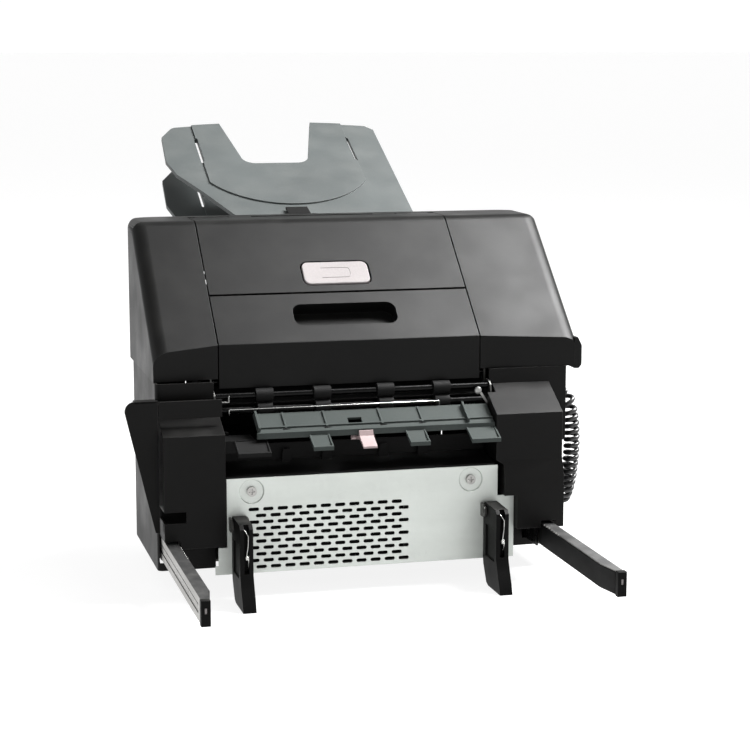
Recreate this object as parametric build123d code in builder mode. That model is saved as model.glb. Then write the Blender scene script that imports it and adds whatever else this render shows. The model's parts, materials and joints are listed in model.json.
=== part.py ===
"""Docking sheet-output unit with two inclined bins, for the side of an office printer.

Frame: X to the right, Y away from the host, Z up, in millimetres.  The origin lies in the outer
plane of the docking plate, at its bottom edge, midway between the two slides.
"""
from build123d import *

import os
from math import atan2, cos, degrees, pi, radians, sin, tan

# ---------------------------------------------------------------- driving dimensions
CENTRE = 125.0          # half width of the opening that the two doors close
GAP = 1.2               # parting gap on each side of a door
WALL = 3.0              # wall of the covers and doors
CREASE_Y = 43.0         # front face of the access door
CREASE_Z = 203.0        # where the front face breaks into the slope
SLOPE = 40.4            # slope of the hood, degrees from horizontal
TOP_Z = 306.0           # flat top of the hood
REAR_Y = 222.0          # back of the hood
LOWER_REAR_Y = 192.0    # back of the lower housing, set in below the hood
DOOR_BOTTOM_Z = 163.0   # lower edge of the access door
DOOR_SPLIT = 61.5       # distance up the slope where one door meets the other
LEFT_X = -185.0         # left side of the housing
RIGHT_X = 220.0         # right side of the hood
LIP_X = 224.7           # hand-grip lip on the right
HOOD_CORNER_R = 14.0    # rounding between the hood's slope and its side
HOOD_FACETS = 8         # flat facets in that rounding
CREASE_R = 1.8          # rounding of the doors' crease
RIGHT_LOWER_X = 203.0   # right side of the lower housing
HOOD_BOTTOM_Z = 172.0   # lower edge of the hood's sides
PLATE_TOP_Z = 88.0      # docking plate, top edge
SHEET_METAL = 1.5
FRAME_X = 130.0         # inner face of the steel side plates
SLIDE_X = 181.5         # outer face of the slides' moving members
SLIDE_TIP_Y = -192.7
SLIDE_Z = (10.5, 31.4)
BIN_TILT = 25.0         # the bins rise away from the hood
BIN_STEP = 46.0         # height from one bin to the next
BIN_START = (239.0, 303.0)  # point on the upper bin's surface, Y and Z
SHAFT_R = 3.0
BUSH_CLEARANCE = 0.05
CORD_R = 2.25
CURL_R = 8.0            # outer radius of the curly cord
GLAND_X, GLAND_Y = 208.4, 50.0      # where the cord leaves the underside of the hand-grip lip

SLOPE_COS, SLOPE_SIN = cos(radians(SLOPE)), sin(radians(SLOPE))
SLOPE_TOP = (TOP_Z - CREASE_Z) / SLOPE_SIN
slope_plane = Plane(
    origin=(0, CREASE_Y, CREASE_Z), x_dir=(1, 0, 0), z_dir=(0, -SLOPE_SIN, SLOPE_COS)
)

os.makedirs("parts", exist_ok=True)


def on_slope(along, depth=0.0):
    """Y and Z of a point along the slope from the crease, depth below its surface."""
    return (
        CREASE_Y + along * SLOPE_COS + depth * SLOPE_SIN,
        CREASE_Z + along * SLOPE_SIN - depth * SLOPE_COS,
    )


def save(name, part):
    """Label one sub-part and write it to its own STEP file."""
    part.label = name
    export_step(part, f"parts/{name}.step")


def side_profile(x, points, width):
    """Plate of the given width, cut to an outline in Y and Z, from x towards +X."""
    with BuildPart() as plate:
        with BuildSketch(Plane.YZ.offset(x)):
            with BuildLine():
                Polyline(*points, close=True)
            make_face()
        extrude(amount=width)
    return plate.part


def rod(x0, x1, centre, radius, bore=0.0):
    """Round bar along X between two stations, with an optional bore."""
    with BuildPart() as bar:
        with BuildSketch(Plane.YZ.offset(x0)):
            with Locations(centre):
                Circle(radius)
                if bore:
                    Circle(bore, mode=Mode.SUBTRACT)
        extrude(amount=x1 - x0)
    return bar.part


# ---------------------------------------------------------------- hood covers
def rounded_corner(corner, before, after, radius, facets):
    """Points of a rounded profile corner between two headings, given in degrees."""
    turn = radians(after - before)
    trim = radius * tan(abs(turn) / 2)
    start = (corner[0] - trim * cos(radians(before)), corner[1] - trim * sin(radians(before)))
    side = 1 if turn > 0 else -1
    normal = radians(before + 90 * side)
    centre = (start[0] + radius * cos(normal), start[1] + radius * sin(normal))
    points = []
    for i in range(facets + 1):
        heading = radians(before) + turn * i / facets - side * pi / 2
        points.append((centre[0] + radius * cos(heading), centre[1] + radius * sin(heading)))
    return points


def front_profile(bottom_z, inset=0.0):
    """Side view of the hood's front, from its lower edge over crease and brow to the flat top."""
    crease = (CREASE_Y + inset, CREASE_Z - inset * (1 - SLOPE_SIN) / SLOPE_COS)
    rise = TOP_Z - inset - crease[1]
    brow = (crease[0] + rise * SLOPE_COS / SLOPE_SIN, TOP_Z - inset)
    return (
        [(crease[0], bottom_z)]
        + rounded_corner(crease, 90, SLOPE, max(CREASE_R - inset, 0.6), 3)
        + rounded_corner(brow, SLOPE, 0, 18.0 - inset, 4)
    )


def hood(side_x, edge_x, front_y, inset, bottom_z):
    """Solid of one side of the hood: its slope lies in the doors' plane and rounds over to its side.

    The upright front runs slightly forward from the door's gap, so its crease with the slope drops outwards.
    """
    out = 1 if side_x > 0 else -1
    side, edge = side_x - out * inset, edge_x - out * 4 * inset
    top, rear, far = TOP_Z - inset, REAR_Y - inset, REAR_Y + 80
    corner = HOOD_CORNER_R - inset
    line = front_profile(bottom_z, inset)
    start_y = front_y + inset - corner - 1
    start_z = line[4][1] - (line[4][0] - start_y) * SLOPE_SIN / SLOPE_COS
    profile = [(start_y, bottom_z), (start_y, start_z)] + line[5:]
    bend = [
        (side - out * corner * (1 - cos(a)), corner * (1 - sin(a)))
        for a in (radians(90 * i / HOOD_FACETS) for i in range(HOOD_FACETS + 1))
    ]
    with BuildPart() as solid:
        for (y0, z0), (y1, z1) in zip(profile, profile[1:]):
            with BuildSketch(Plane.XY.offset(z0)):
                with BuildLine():
                    Polyline((edge, y0), (edge, far), (side, far), *[(x, y + y0) for x, y in bend], close=True)
                make_face()
            length = ((y1 - y0) ** 2 + (z1 - z0) ** 2) ** 0.5
            extrude(amount=length, dir=(0, (y1 - y0) / length, (z1 - z0) / length))
        with BuildSketch(Plane.XY.offset(bottom_z)) as limit:
            with BuildLine():
                inner = [(edge, CREASE_Y + inset)] if inset else []
                Polyline(*inner, (edge_x, CREASE_Y + inset), (side, front_y + inset), (side, rear), (edge, rear),
                         close=True)
            make_face()
            fillet(limit.vertices().sort_by_distance((side, rear, bottom_z))[0], 30 - inset)
        extrude(amount=top - bottom_z, mode=Mode.INTERSECT)
        with BuildSketch(Plane.XZ.offset(-far)) as front_limit:
            with BuildLine():
                Polyline((edge, bottom_z), (side, bottom_z), (side, top), (edge, top), close=True)
            make_face()
            fillet(front_limit.vertices().sort_by_distance((side, far, top))[0], 11 - inset)
        extrude(amount=far + 60, mode=Mode.INTERSECT)
    return solid.part


def hood_shell(side_x, edge_x, front_y, bottom_z):
    """Hood cover as a wall of even thickness, open below and towards the doors."""
    with BuildPart() as shell:
        add(hood(side_x, edge_x, front_y, 0.0, bottom_z))
        add(hood(side_x, edge_x, front_y, WALL, bottom_z - 1), mode=Mode.SUBTRACT)
    return shell


left_cover = hood_shell(LEFT_X, -CENTRE, 37.0, HOOD_BOTTOM_Z)
save("left_cover", left_cover.part)

LIP_FRONT_Y = 38.0
LIP_BOTTOM_Z = HOOD_BOTTOM_Z - 2.8
with BuildPart() as grip_lip:
    with BuildSketch(Plane.XZ.offset(-LIP_FRONT_Y)) as lip:
        with BuildLine():
            Polyline(
                (RIGHT_X - WALL, LIP_BOTTOM_Z), (RIGHT_X - WALL, CREASE_Z - 4), (RIGHT_X, CREASE_Z - 4),
                (LIP_X, CREASE_Z - 13), (LIP_X, LIP_BOTTOM_Z + 4), (RIGHT_X + 1, LIP_BOTTOM_Z), close=True,
            )
        make_face()
        fillet(lip.vertices().sort_by(Axis.X)[-2:], 4)
    extrude(amount=LOWER_REAR_Y - LIP_FRONT_Y, dir=(0, 1, 0))
    with BuildSketch(Plane.XY.offset(LIP_BOTTOM_Z)) as lip_plan:
        with BuildLine():
            Polyline((150, LIP_FRONT_Y), (LIP_X, LIP_FRONT_Y), (LIP_X, LOWER_REAR_Y), (150, LOWER_REAR_Y),
                     close=True)
        make_face()
        fillet(lip_plan.vertices().sort_by_distance((LIP_X, LIP_FRONT_Y, 0))[0], 2)
        fillet(lip_plan.vertices().sort_by_distance((LIP_X, LOWER_REAR_Y, 0))[0], 5)
    extrude(amount=60, mode=Mode.INTERSECT)

with BuildPart() as right_cover:
    add(hood_shell(RIGHT_X, CENTRE, LIP_FRONT_Y, HOOD_BOTTOM_Z))
    add(grip_lip)
    with Locations((GLAND_X - 6, GLAND_Y, HOOD_BOTTOM_Z)):
        Box(RIGHT_X - 1 - GLAND_X + 6, 14, 5, align=(Align.MIN, Align.CENTER, Align.MIN))
save("right_cover", right_cover.part)


# ---------------------------------------------------------------- doors
def door_strip(outer, inner, x_half):
    """Bent panel across the centre, between an outer and an inner side-view line."""
    with BuildPart() as panel:
        with BuildSketch(Plane.YZ.offset(-x_half)):
            with BuildLine():
                Polyline(*outer, *reversed(inner), close=True)
            make_face()
        extrude(amount=2 * x_half)
    return panel.part


DOOR_HALF = CENTRE - GAP
CREASE_POINTS = 5       # lower edge and the four points of the rounded crease
DOOR_HINGE = (51.0, 168.0)
TOP_HINGE = (203.0, TOP_Z - 3.5)
SLOT_X, SLOT_S = 0.5, 33.5          # centre of the finger slot
SLOT_LENGTH, SLOT_WIDTH, SLOT_DEPTH, SLOT_R = 99.0, 27.0, 16.0, 9.0
BUTTON_X, BUTTON_S = 1.0, 86.0
BUTTON_SIZE = (64.0, 28.0)
BUTTON_TRAVEL = 3.0
BUTTON_GAP = 1.7         # clear space round the button

button_hole = [side + 2 * BUTTON_GAP for side in BUTTON_SIZE]
housing_size = [side + 2 * BUTTON_GAP + 4 for side in BUTTON_SIZE]
outer_line = front_profile(DOOR_BOTTOM_Z)
inner_line = front_profile(DOOR_BOTTOM_Z, WALL)
with BuildPart() as access_door:
    add(door_strip(
        outer_line[:CREASE_POINTS] + [on_slope(DOOR_SPLIT - GAP)],
        inner_line[:CREASE_POINTS] + [on_slope(DOOR_SPLIT - GAP, WALL)],
        DOOR_HALF,
    ))
    with BuildSketch(slope_plane):
        with Locations((SLOT_X, SLOT_S)):
            RectangleRounded(SLOT_LENGTH + 4, SLOT_WIDTH + 4, SLOT_R + 2)
    extrude(amount=-SLOT_DEPTH)
    with BuildSketch(slope_plane):
        with Locations((SLOT_X, SLOT_S)):
            RectangleRounded(SLOT_LENGTH, SLOT_WIDTH, SLOT_R)
    extrude(amount=-SLOT_DEPTH + 2, mode=Mode.SUBTRACT)
    for x in (-DOOR_HALF + 2, DOOR_HALF - 10):
        with BuildSketch(Plane.YZ.offset(x)):
            with Locations(DOOR_HINGE):
                Circle(4.5)
            with Locations((DOOR_HINGE[0] - 3.5, DOOR_HINGE[1])):
                Rectangle(6, 9)
            with Locations(DOOR_HINGE):
                Circle(2.05, mode=Mode.SUBTRACT)
        extrude(amount=8)
save("access_door", access_door.part)

with BuildPart() as access_door_pins:
    for x in (-FRAME_X - SHEET_METAL, DOOR_HALF - 12):
        add(rod(x, x + FRAME_X + SHEET_METAL - DOOR_HALF + 12, DOOR_HINGE, 2.0))
save("access_door_pins", access_door_pins.part)

with BuildPart() as top_door:
    add(door_strip(
        [on_slope(DOOR_SPLIT + GAP)] + outer_line[CREASE_POINTS:] + [(199.0, TOP_Z)],
        [on_slope(DOOR_SPLIT + GAP, WALL)] + inner_line[CREASE_POINTS:] + [(199.0, TOP_Z - WALL)],
        DOOR_HALF,
    ))
    with BuildSketch(slope_plane):
        with Locations((BUTTON_X, BUTTON_S)):
            RectangleRounded(*button_hole, 8)
    extrude(amount=-WALL - 1, mode=Mode.SUBTRACT)
    for x in (-118, 86):
        with BuildSketch(Plane.YZ.offset(x)):
            with Locations(TOP_HINGE):
                Circle(3.5)
            with Locations((TOP_HINGE[0] - 3, TOP_HINGE[1] + 2)):
                Rectangle(6, 3)
            with Locations(TOP_HINGE):
                Circle(1.6, mode=Mode.SUBTRACT)
        extrude(amount=32)
save("top_door", top_door.part)

with BuildPart() as top_door_pins:
    for x in (-117, 61):
        add(rod(x, x + 56, TOP_HINGE, 1.55))
save("top_door_pins", top_door_pins.part)

# ---------------------------------------------------------------- release button
with BuildPart() as button_housing:
    with BuildSketch(slope_plane.offset(-WALL)):
        with Locations((BUTTON_X, BUTTON_S)):
            RectangleRounded(*housing_size, 10)
            RectangleRounded(*button_hole, 8, mode=Mode.SUBTRACT)
    extrude(amount=-13)
    with BuildSketch(slope_plane.offset(-WALL - 13)):
        with Locations((BUTTON_X, BUTTON_S)):
            RectangleRounded(*housing_size, 10)
    extrude(amount=-2)
save("button_housing", button_housing.part)

with BuildPart() as release_button:
    with BuildSketch(slope_plane.offset(0.8)):
        with Locations((BUTTON_X, BUTTON_S)):
            RectangleRounded(*BUTTON_SIZE, 6.5)
    extrude(amount=-4.8)
    fillet(release_button.edges().group_by(Axis((0, 0, 0), tuple(slope_plane.z_dir)))[-1], 1.0)
    with BuildSketch(slope_plane.offset(-4)):
        with Locations((BUTTON_X - 18, BUTTON_S), (BUTTON_X + 18, BUTTON_S)):
            Circle(2.2)
    extrude(amount=-4)
save("release_button", release_button.part)

SPRING_R, SPRING_WIRE = 3.4, 0.35
with BuildPart() as button_springs:
    for x in (BUTTON_X - 18, BUTTON_X + 18):
        foot = slope_plane.offset(-WALL - 13 + 2 * SPRING_WIRE).from_local_coords((x, BUTTON_S, 0))
        with BuildLine() as wire:
            Helix(pitch=1.9, height=10.4, radius=SPRING_R, center=foot, direction=slope_plane.z_dir)
        with BuildSketch(Plane(origin=wire.line @ 0, z_dir=wire.line % 0)):
            Circle(SPRING_WIRE)
        sweep(path=wire.line)
save("button_springs", button_springs.part)

# ---------------------------------------------------------------- steel frame
frame_outline = [
    (39.0, 4.0), (39.0, 138.0), (48.0, 160.0), on_slope(2, 9),
    on_slope(SLOPE_TOP - 8, 9), (200.0, TOP_Z - 10), (REAR_Y - 5, TOP_Z - 12),
    (REAR_Y - 5, 176.0), (LOWER_REAR_Y - 5, 168.0), (LOWER_REAR_Y - 5, 4.0),
]
# the feed pair runs in lugs that reach forward of the frame, under the access door
feed_lug = [(27.0, 142.5), (29.0, 158.5), (33.0, 161.4), (42.0, 162.5), (48.0, 158.0), (48.0, 134.0),
            (39.0, 134.0)]
FEED = (36.0, 157.0)
FEED_IDLER = (33.0, 144.5)
TRANSPORT = (114.0, 212.0)
TRANSPORT_IDLER = on_slope(60, 24)
UPPER_EXIT = (206.0, 280.0)
LOWER_EXIT = (206.0, 280.0 - BIN_STEP)
EXIT_IDLER_RISE = 13.3
UPPER_IDLER = (UPPER_EXIT[0], UPPER_EXIT[1] + EXIT_IDLER_RISE)
LOWER_IDLER = (LOWER_EXIT[0], LOWER_EXIT[1] + EXIT_IDLER_RISE)
MOTOR = (120.0, 70.0)
DIVERTER = (176.0, 258.0)
BUSHED = (TRANSPORT, UPPER_EXIT, LOWER_EXIT)
BUSH_R = 5.0


def side_plate(x):
    """Steel side plate with the holes for the shaft bushes and two lightening holes."""
    with BuildPart() as plate:
        add(side_profile(x, frame_outline, SHEET_METAL))
        add(side_profile(x, feed_lug, SHEET_METAL))
        with BuildSketch(Plane.YZ.offset(x)):
            with Locations(FEED, FEED_IDLER, TRANSPORT_IDLER, UPPER_IDLER, LOWER_IDLER):
                Circle(SHAFT_R + BUSH_CLEARANCE)
            with Locations(*BUSHED):
                Circle(BUSH_R)
            with Locations(DOOR_HINGE, DIVERTER):
                Circle(2.0 + BUSH_CLEARANCE)
            with Locations((85.0, 120.0), (150.0, 190.0)):
                Circle(16)
            with Locations(MOTOR):
                Circle(11.5)
            with Locations((60.0, 45.0)):
                RectangleRounded(50, 40, 8)
        extrude(amount=SHEET_METAL, mode=Mode.SUBTRACT)
    return plate.part


save("left_side_plate", side_plate(-FRAME_X - SHEET_METAL))
save("right_side_plate", side_plate(FRAME_X))

with BuildPart() as shaft_bushes:
    for x in (-FRAME_X - 3, FRAME_X - 1.5):
        for centre in BUSHED:
            add(rod(x, x + 4.5, centre, BUSH_R, SHAFT_R + BUSH_CLEARANCE))
save("shaft_bushes", shaft_bushes.part)

with BuildPart() as base_frame:
    with BuildSketch(Plane.XY.offset(2.0)):
        with Locations((15, 42)):
            Rectangle(350, LOWER_REAR_Y - 47, align=(Align.CENTER, Align.MIN))
        with Locations((0, 3)):
            Rectangle(250, 40, align=(Align.CENTER, Align.MIN))
    extrude(amount=2.0)
    with BuildSketch(Plane.XY):
        with Locations(*[(x, y) for x in (-150, 180) for y in (52, LOWER_REAR_Y - 20)]):
            Circle(9)
    extrude(amount=2.0)
    with BuildSketch(Plane.XZ.offset(-12)):
        with Locations((0, 3)):
            Rectangle(250, 81, align=(Align.CENTER, Align.MIN))
        with Locations((-31, 32.5)):
            Rectangle(146, 57, mode=Mode.SUBTRACT)
        with Locations((-103, 75.4), (103, 75.4)):
            Circle(2.0, mode=Mode.SUBTRACT)
    extrude(amount=-SHEET_METAL)
save("base_frame", base_frame.part)

# ---------------------------------------------------------------- docking plate
PLATE_T = 1.2
SCREW_X, SCREW_Z = 103.0, 75.4
DIMPLE_R = 11.5
GRILLE_ROWS, GRILLE_PITCH_Z = 10, 5.94
GRILLE_COLUMNS, GRILLE_PITCH_X = 11, 13.35
GRILLE_CENTRE = (-31.3, 32.15)
SLOT_W, SLOT_H = 9.7, 3.3

with BuildPart() as docking_plate:
    with BuildSketch(Plane.XZ):
        with BuildLine():
            Polyline(
                (-137, 0), (145, 0), (145, 59), (129, 59), (129, PLATE_TOP_Z), (-126, PLATE_TOP_Z),
                (-126, 25), (-134, 25), (-134, 8), (-137, 8), close=True,
            )
        make_face()
        for row in range(GRILLE_ROWS):
            z = GRILLE_CENTRE[1] + (row - (GRILLE_ROWS - 1) / 2) * GRILLE_PITCH_Z
            shift = GRILLE_PITCH_X / 4 * (-1 if row % 2 else 1)
            with Locations((GRILLE_CENTRE[0] + shift, z)):
                with GridLocations(GRILLE_PITCH_X, 1, GRILLE_COLUMNS, 1):
                    SlotOverall(SLOT_W, SLOT_H, mode=Mode.SUBTRACT)
    extrude(amount=-PLATE_T)
    for x in (-SCREW_X, SCREW_X):
        with BuildSketch(Plane.XZ.offset(-PLATE_T)):
            with Locations((x, SCREW_Z)):
                Circle(DIMPLE_R + 0.9)
        extrude(amount=-1.6, taper=30)
        with BuildSketch(Plane.XZ):
            with Locations((x, SCREW_Z)):
                Circle(DIMPLE_R)
        extrude(amount=-1.6, taper=30, mode=Mode.SUBTRACT)
        with Locations(Plane(origin=(x, 1.0, SCREW_Z), z_dir=(0, -1, 0))):
            Hole(2.2, depth=6)
save("docking_plate", docking_plate.part)

with BuildPart() as plate_screws:
    for x in (-SCREW_X, SCREW_X):
        with BuildSketch(Plane.XZ.offset(-1.6)) as seat:
            with Locations((x, SCREW_Z)):
                Circle(4.5)
        extrude(amount=2.6)
        with BuildSketch(Plane.XZ.offset(1.0)):
            with Locations((x, SCREW_Z)):
                Rectangle(5.4, 0.9)
                Rectangle(0.9, 5.4)
        extrude(amount=-1.3, mode=Mode.SUBTRACT)
        with BuildSketch(Plane.XZ.offset(-1.6)):
            with Locations((x, SCREW_Z)):
                Circle(2.0)
        extrude(amount=-12.5)
save("plate_screws", plate_screws.part)

# ---------------------------------------------------------------- lower housing
PANEL = 2.5
LEFT_FRONT_Y, RIGHT_FRONT_Y = 26.5, 38.0
SLIDE_GAP = 0.9


def lower_panel(side_x, front_y):
    """Lower side panel: front, side and rear wall in one piece, with a gate for the slide."""
    out = 1 if side_x > 0 else -1
    edge = out * (FRAME_X + 2)
    gate_x = out * (SLIDE_X - 6.7)
    with BuildPart() as panel:
        with BuildSketch(Plane.XY) as plan:
            with BuildLine():
                Polyline(
                    (edge, front_y), (side_x, front_y), (side_x, LOWER_REAR_Y), (edge, LOWER_REAR_Y),
                    (edge, LOWER_REAR_Y - PANEL), (side_x - out * PANEL, LOWER_REAR_Y - PANEL),
                    (side_x - out * PANEL, front_y + PANEL), (edge, front_y + PANEL), close=True,
                )
            make_face()
            fillet(plan.vertices().sort_by_distance((side_x, LOWER_REAR_Y, 0))[0], 22)
            fillet(plan.vertices().sort_by_distance((side_x - out * PANEL, LOWER_REAR_Y - PANEL, 0))[0], 19.5)
            fillet(plan.vertices().sort_by_distance((side_x, front_y, 0))[0], 5)
        extrude(amount=HOOD_BOTTOM_Z)
        with Locations((gate_x, front_y + PANEL / 2, 20.95)):
            Box(17, 4 * PANEL, 28, mode=Mode.SUBTRACT)
    return panel


left_lower_panel = lower_panel(LEFT_X, LEFT_FRONT_Y)
save("left_lower_panel", left_lower_panel.part)

PARK_Y, PARK_Z = 124.0, 26.0         # where the cord meets its parked connector
CONNECTOR = (11.0, 26.0, 8.0)        # body of the connector
PARK_X = 212.5
FLANGE_X = 208.6                     # flange that hides the top of the cord from the front
with BuildPart() as right_lower_panel:
    add(lower_panel(RIGHT_LOWER_X, RIGHT_FRONT_Y))
    with Locations((RIGHT_LOWER_X - 1, PARK_Y + CONNECTOR[1], PARK_Z)):
        Box(18, 12, 20, align=(Align.MIN, Align.MIN, Align.CENTER))
    with Locations((PARK_X, PARK_Y + CONNECTOR[1] - 1, PARK_Z)):
        Box(8.4, 9, 5.4, align=(Align.CENTER, Align.MIN, Align.CENTER), mode=Mode.SUBTRACT)
    with BuildSketch(Plane.XZ.offset(-RIGHT_FRONT_Y)):
        with BuildLine():
            Polyline((194, HOOD_BOTTOM_Z), (FLANGE_X, HOOD_BOTTOM_Z), (FLANGE_X, 103), (203.2, 97.5), (194, 97.5),
                     close=True)
        make_face()
    extrude(amount=-PANEL)
save("right_lower_panel", right_lower_panel.part)


def leg_cover(front_view, side_view, notch=None):
    """Front leg as a wall of even thickness: its front view crossed with its side view."""
    with BuildPart() as leg:
        with BuildSketch(Plane.XZ.offset(20)):
            with BuildLine():
                Polyline(*front_view, close=True)
            make_face()
        extrude(amount=-80)
        with BuildSketch(Plane.YZ.offset(-250)) as section:
            with BuildLine():
                Polyline(*side_view, close=True)
            make_face()
        extrude(amount=500, mode=Mode.INTERSECT)
        back = leg.faces().sort_by(Axis.Y)[-1]
        bottom = leg.faces().filter_by(Axis.Z).sort_by(Axis.Z)[0]
        offset(amount=-PANEL, openings=[back, bottom])
    return leg


left_leg = leg_cover(
    [(-183, 26.5), (-183, 160), (-127, 160), (-127, 26.5)],
    [(-3, 26.5), (-3, 129), (26, 141), (26, 26.5)],
)
with BuildPart() as left_leg_cover:
    add(left_leg)
    with Locations((-176, 10, 55.5)):
        Box(26, 60, 10, mode=Mode.SUBTRACT)
    with Locations((-SLIDE_X + 5.5, 10, 26)):
        Box(14, 60, 16, mode=Mode.SUBTRACT)
save("left_leg_cover", left_leg_cover.part)

right_leg = leg_cover(
    [(191, 28), (191, 180), (126.4, 180), (126.4, 93), (133, 89), (133, 60), (145.5, 60), (145.5, 28)],
    [(-10, 28), (-10, 76), (-3.5, 93), (-3.5, 136), (37.5, 158.5), (37.5, 28)],
)
with BuildPart() as right_leg_cover:
    add(right_leg)
    with Locations((SLIDE_X - 5.5, 10, 27)):
        Box(14, 70, 15, mode=Mode.SUBTRACT)
    with Locations((CENTRE, 26, 139)):
        Box(9.5, 14, 23, align=(Align.MIN, Align.MIN, Align.MIN), mode=Mode.SUBTRACT)
save("right_leg_cover", right_leg_cover.part)

with BuildPart() as side_wing:
    with BuildSketch(Plane.XZ.offset(-10)) as fin:
        with BuildLine():
            Polyline(
                (-215, 152), (-212, 159), (-204, 159.5), (-185.3, 160), (-185.3, 40), (-189, 40),
                (-194, 61), (-203, 100), close=True,
            )
        make_face()
        fillet(fin.vertices().sort_by(Axis.X)[:2], 3)
    extrude(amount=-3)
    with BuildSketch(Plane.XY.offset(157)):
        with Locations((-199.5, 10)):
            Rectangle(28.4, 12, align=(Align.CENTER, Align.MIN))
    extrude(amount=2.4)
    with Locations((-185.3, 10, 60)):
        Box(3, 22, 98, align=(Align.MAX, Align.MIN, Align.MIN))
    with Locations((-183.2, 10, 143)):
        Box(56, 3, 16, align=(Align.MIN, Align.MIN, Align.MIN))
    with Locations((-186, 10, 143)):
        Box(4, 3, 16, align=(Align.MIN, Align.MIN, Align.MIN))
save("side_wing", side_wing.part)

UPPER_SLOT = (284.0, 300.0)
with BuildPart() as rear_cover:
    with BuildSketch(Plane.XZ.offset(-REAR_Y)):
        with Locations((0, HOOD_BOTTOM_Z)):
            Rectangle(2 * CENTRE - 0.8, TOP_Z - HOOD_BOTTOM_Z, align=(Align.CENTER, Align.MIN))
        for drop in (0, BIN_STEP):
            with Locations((0, (UPPER_SLOT[0] + UPPER_SLOT[1]) / 2 - drop)):
                Rectangle(224, UPPER_SLOT[1] - UPPER_SLOT[0], mode=Mode.SUBTRACT)
    extrude(amount=WALL)
    with Locations((0, 207.5, TOP_Z)):
        Box(2 * CENTRE - 0.8, REAR_Y - 208, WALL, align=(Align.CENTER, Align.MIN, Align.MAX))
    for x in (-84, 62):
        with BuildSketch(Plane.YZ.offset(x)):
            with Locations(TOP_HINGE):
                Circle(3.5)
            with Locations((TOP_HINGE[0] + 3, TOP_HINGE[1] + 2)):
                Rectangle(6, 3)
            with Locations(TOP_HINGE):
                Circle(1.6, mode=Mode.SUBTRACT)
        extrude(amount=22)
    with Locations((0, LOWER_REAR_Y - PANEL, HOOD_BOTTOM_Z)):
        Box(2 * CENTRE - 0.8, REAR_Y - LOWER_REAR_Y + PANEL, PANEL,
            align=(Align.CENTER, Align.MIN, Align.MIN))
    with Locations((0, LOWER_REAR_Y - PANEL, 4)):
        Box(2 * FRAME_X, PANEL, HOOD_BOTTOM_Z - 2, align=(Align.CENTER, Align.MIN, Align.MIN))
    for drop in (0, BIN_STEP):
        for x in (-21.4, 5.2):
            with BuildSketch(Plane.YZ.offset(x)):
                with BuildLine():
                    Polyline((REAR_Y - 1, TOP_Z - drop), (REAR_Y + 6, TOP_Z - drop),
                             (REAR_Y + 6, TOP_Z - 6 - drop), (REAR_Y - 1, TOP_Z - 6 - drop), close=True)
                make_face()
                with Locations((REAR_Y + 3.2, TOP_Z - 3 - drop)):
                    Circle(1.05, mode=Mode.SUBTRACT)
            extrude(amount=2.6)
    with BuildSketch(Plane.XZ.offset(-LOWER_REAR_Y)):
        with Locations(*[(x, 60 + 7 * row) for x in (-80, -40, 0, 40, 80) for row in range(6)]):
            SlotOverall(30, 3)
    extrude(amount=PANEL + 1, mode=Mode.SUBTRACT)
save("rear_cover", rear_cover.part)

# ---------------------------------------------------------------- throat
TONGUE_ROOT, TONGUE_TIP = (1.0, 125.6), (-20.0, 115.4)
TONGUE_T, RIM_T, RIM_H = 1.6, 1.3, 2.0
TONGUES = [(-50, -31.5), (40, 58.5), (98, 125.6)]


def tongue(x0, x1):
    """Sloping tongue that leads a sheet up to the guide, with a raised rim on its three free sides."""
    (y0, z0), (y1, z1) = TONGUE_ROOT, TONGUE_TIP
    fall = (z0 - z1) / (y0 - y1)
    with BuildPart() as plate:
        add(side_profile(x0, [(y0, z0), (y1, z1), (y1, z1 - TONGUE_T), (y0, z0 - TONGUE_T)], x1 - x0))
        for x in (x0, x1 - RIM_T):
            add(side_profile(x, [(y0, z0 + 0.4), (y1, z1 + RIM_H), (y1, z1 - TONGUE_T), (y0, z0 - TONGUE_T)],
                             RIM_T))
        add(side_profile(x0, [(y1 + RIM_T, z1 + RIM_H + RIM_T * fall), (y1, z1 + RIM_H), (y1, z1 - TONGUE_T),
                              (y1 + RIM_T, z1 - TONGUE_T + RIM_T * fall)], x1 - x0))
    return plate.part


with BuildPart() as throat_floor:
    add(side_profile(-127.2 + 0.9, [
        (0.3, 88.2), (0.3, 89.8), (34.0, 96.9), (35.0, 112.0), (37.0, 112.0), (36.0, 94.5), (4.0, 88.2),
    ], 252.2))
    for x in (-64.7, -27.0, 27.0, 64.7):
        with BuildSketch(Plane.XZ.offset(-29)):
            with BuildLine():
                Polyline((x - 5, 94), (x + 5, 94), (x + 3.5, 107), (x - 3.5, 107), close=True)
            make_face()
        extrude(amount=-2)
    add(tongue(-118, -88).moved(Location((0, 3, -3.5))))
    with Locations((-126.3, 2, 111)):
        Box(28, 28, 11, align=(Align.MIN, Align.MIN, Align.MIN))
    with Locations((-126.3, 28, 108)):
        Box(8, 8, 17, align=(Align.MIN, Align.MIN, Align.MIN))
save("throat_floor", throat_floor.part)

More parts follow.
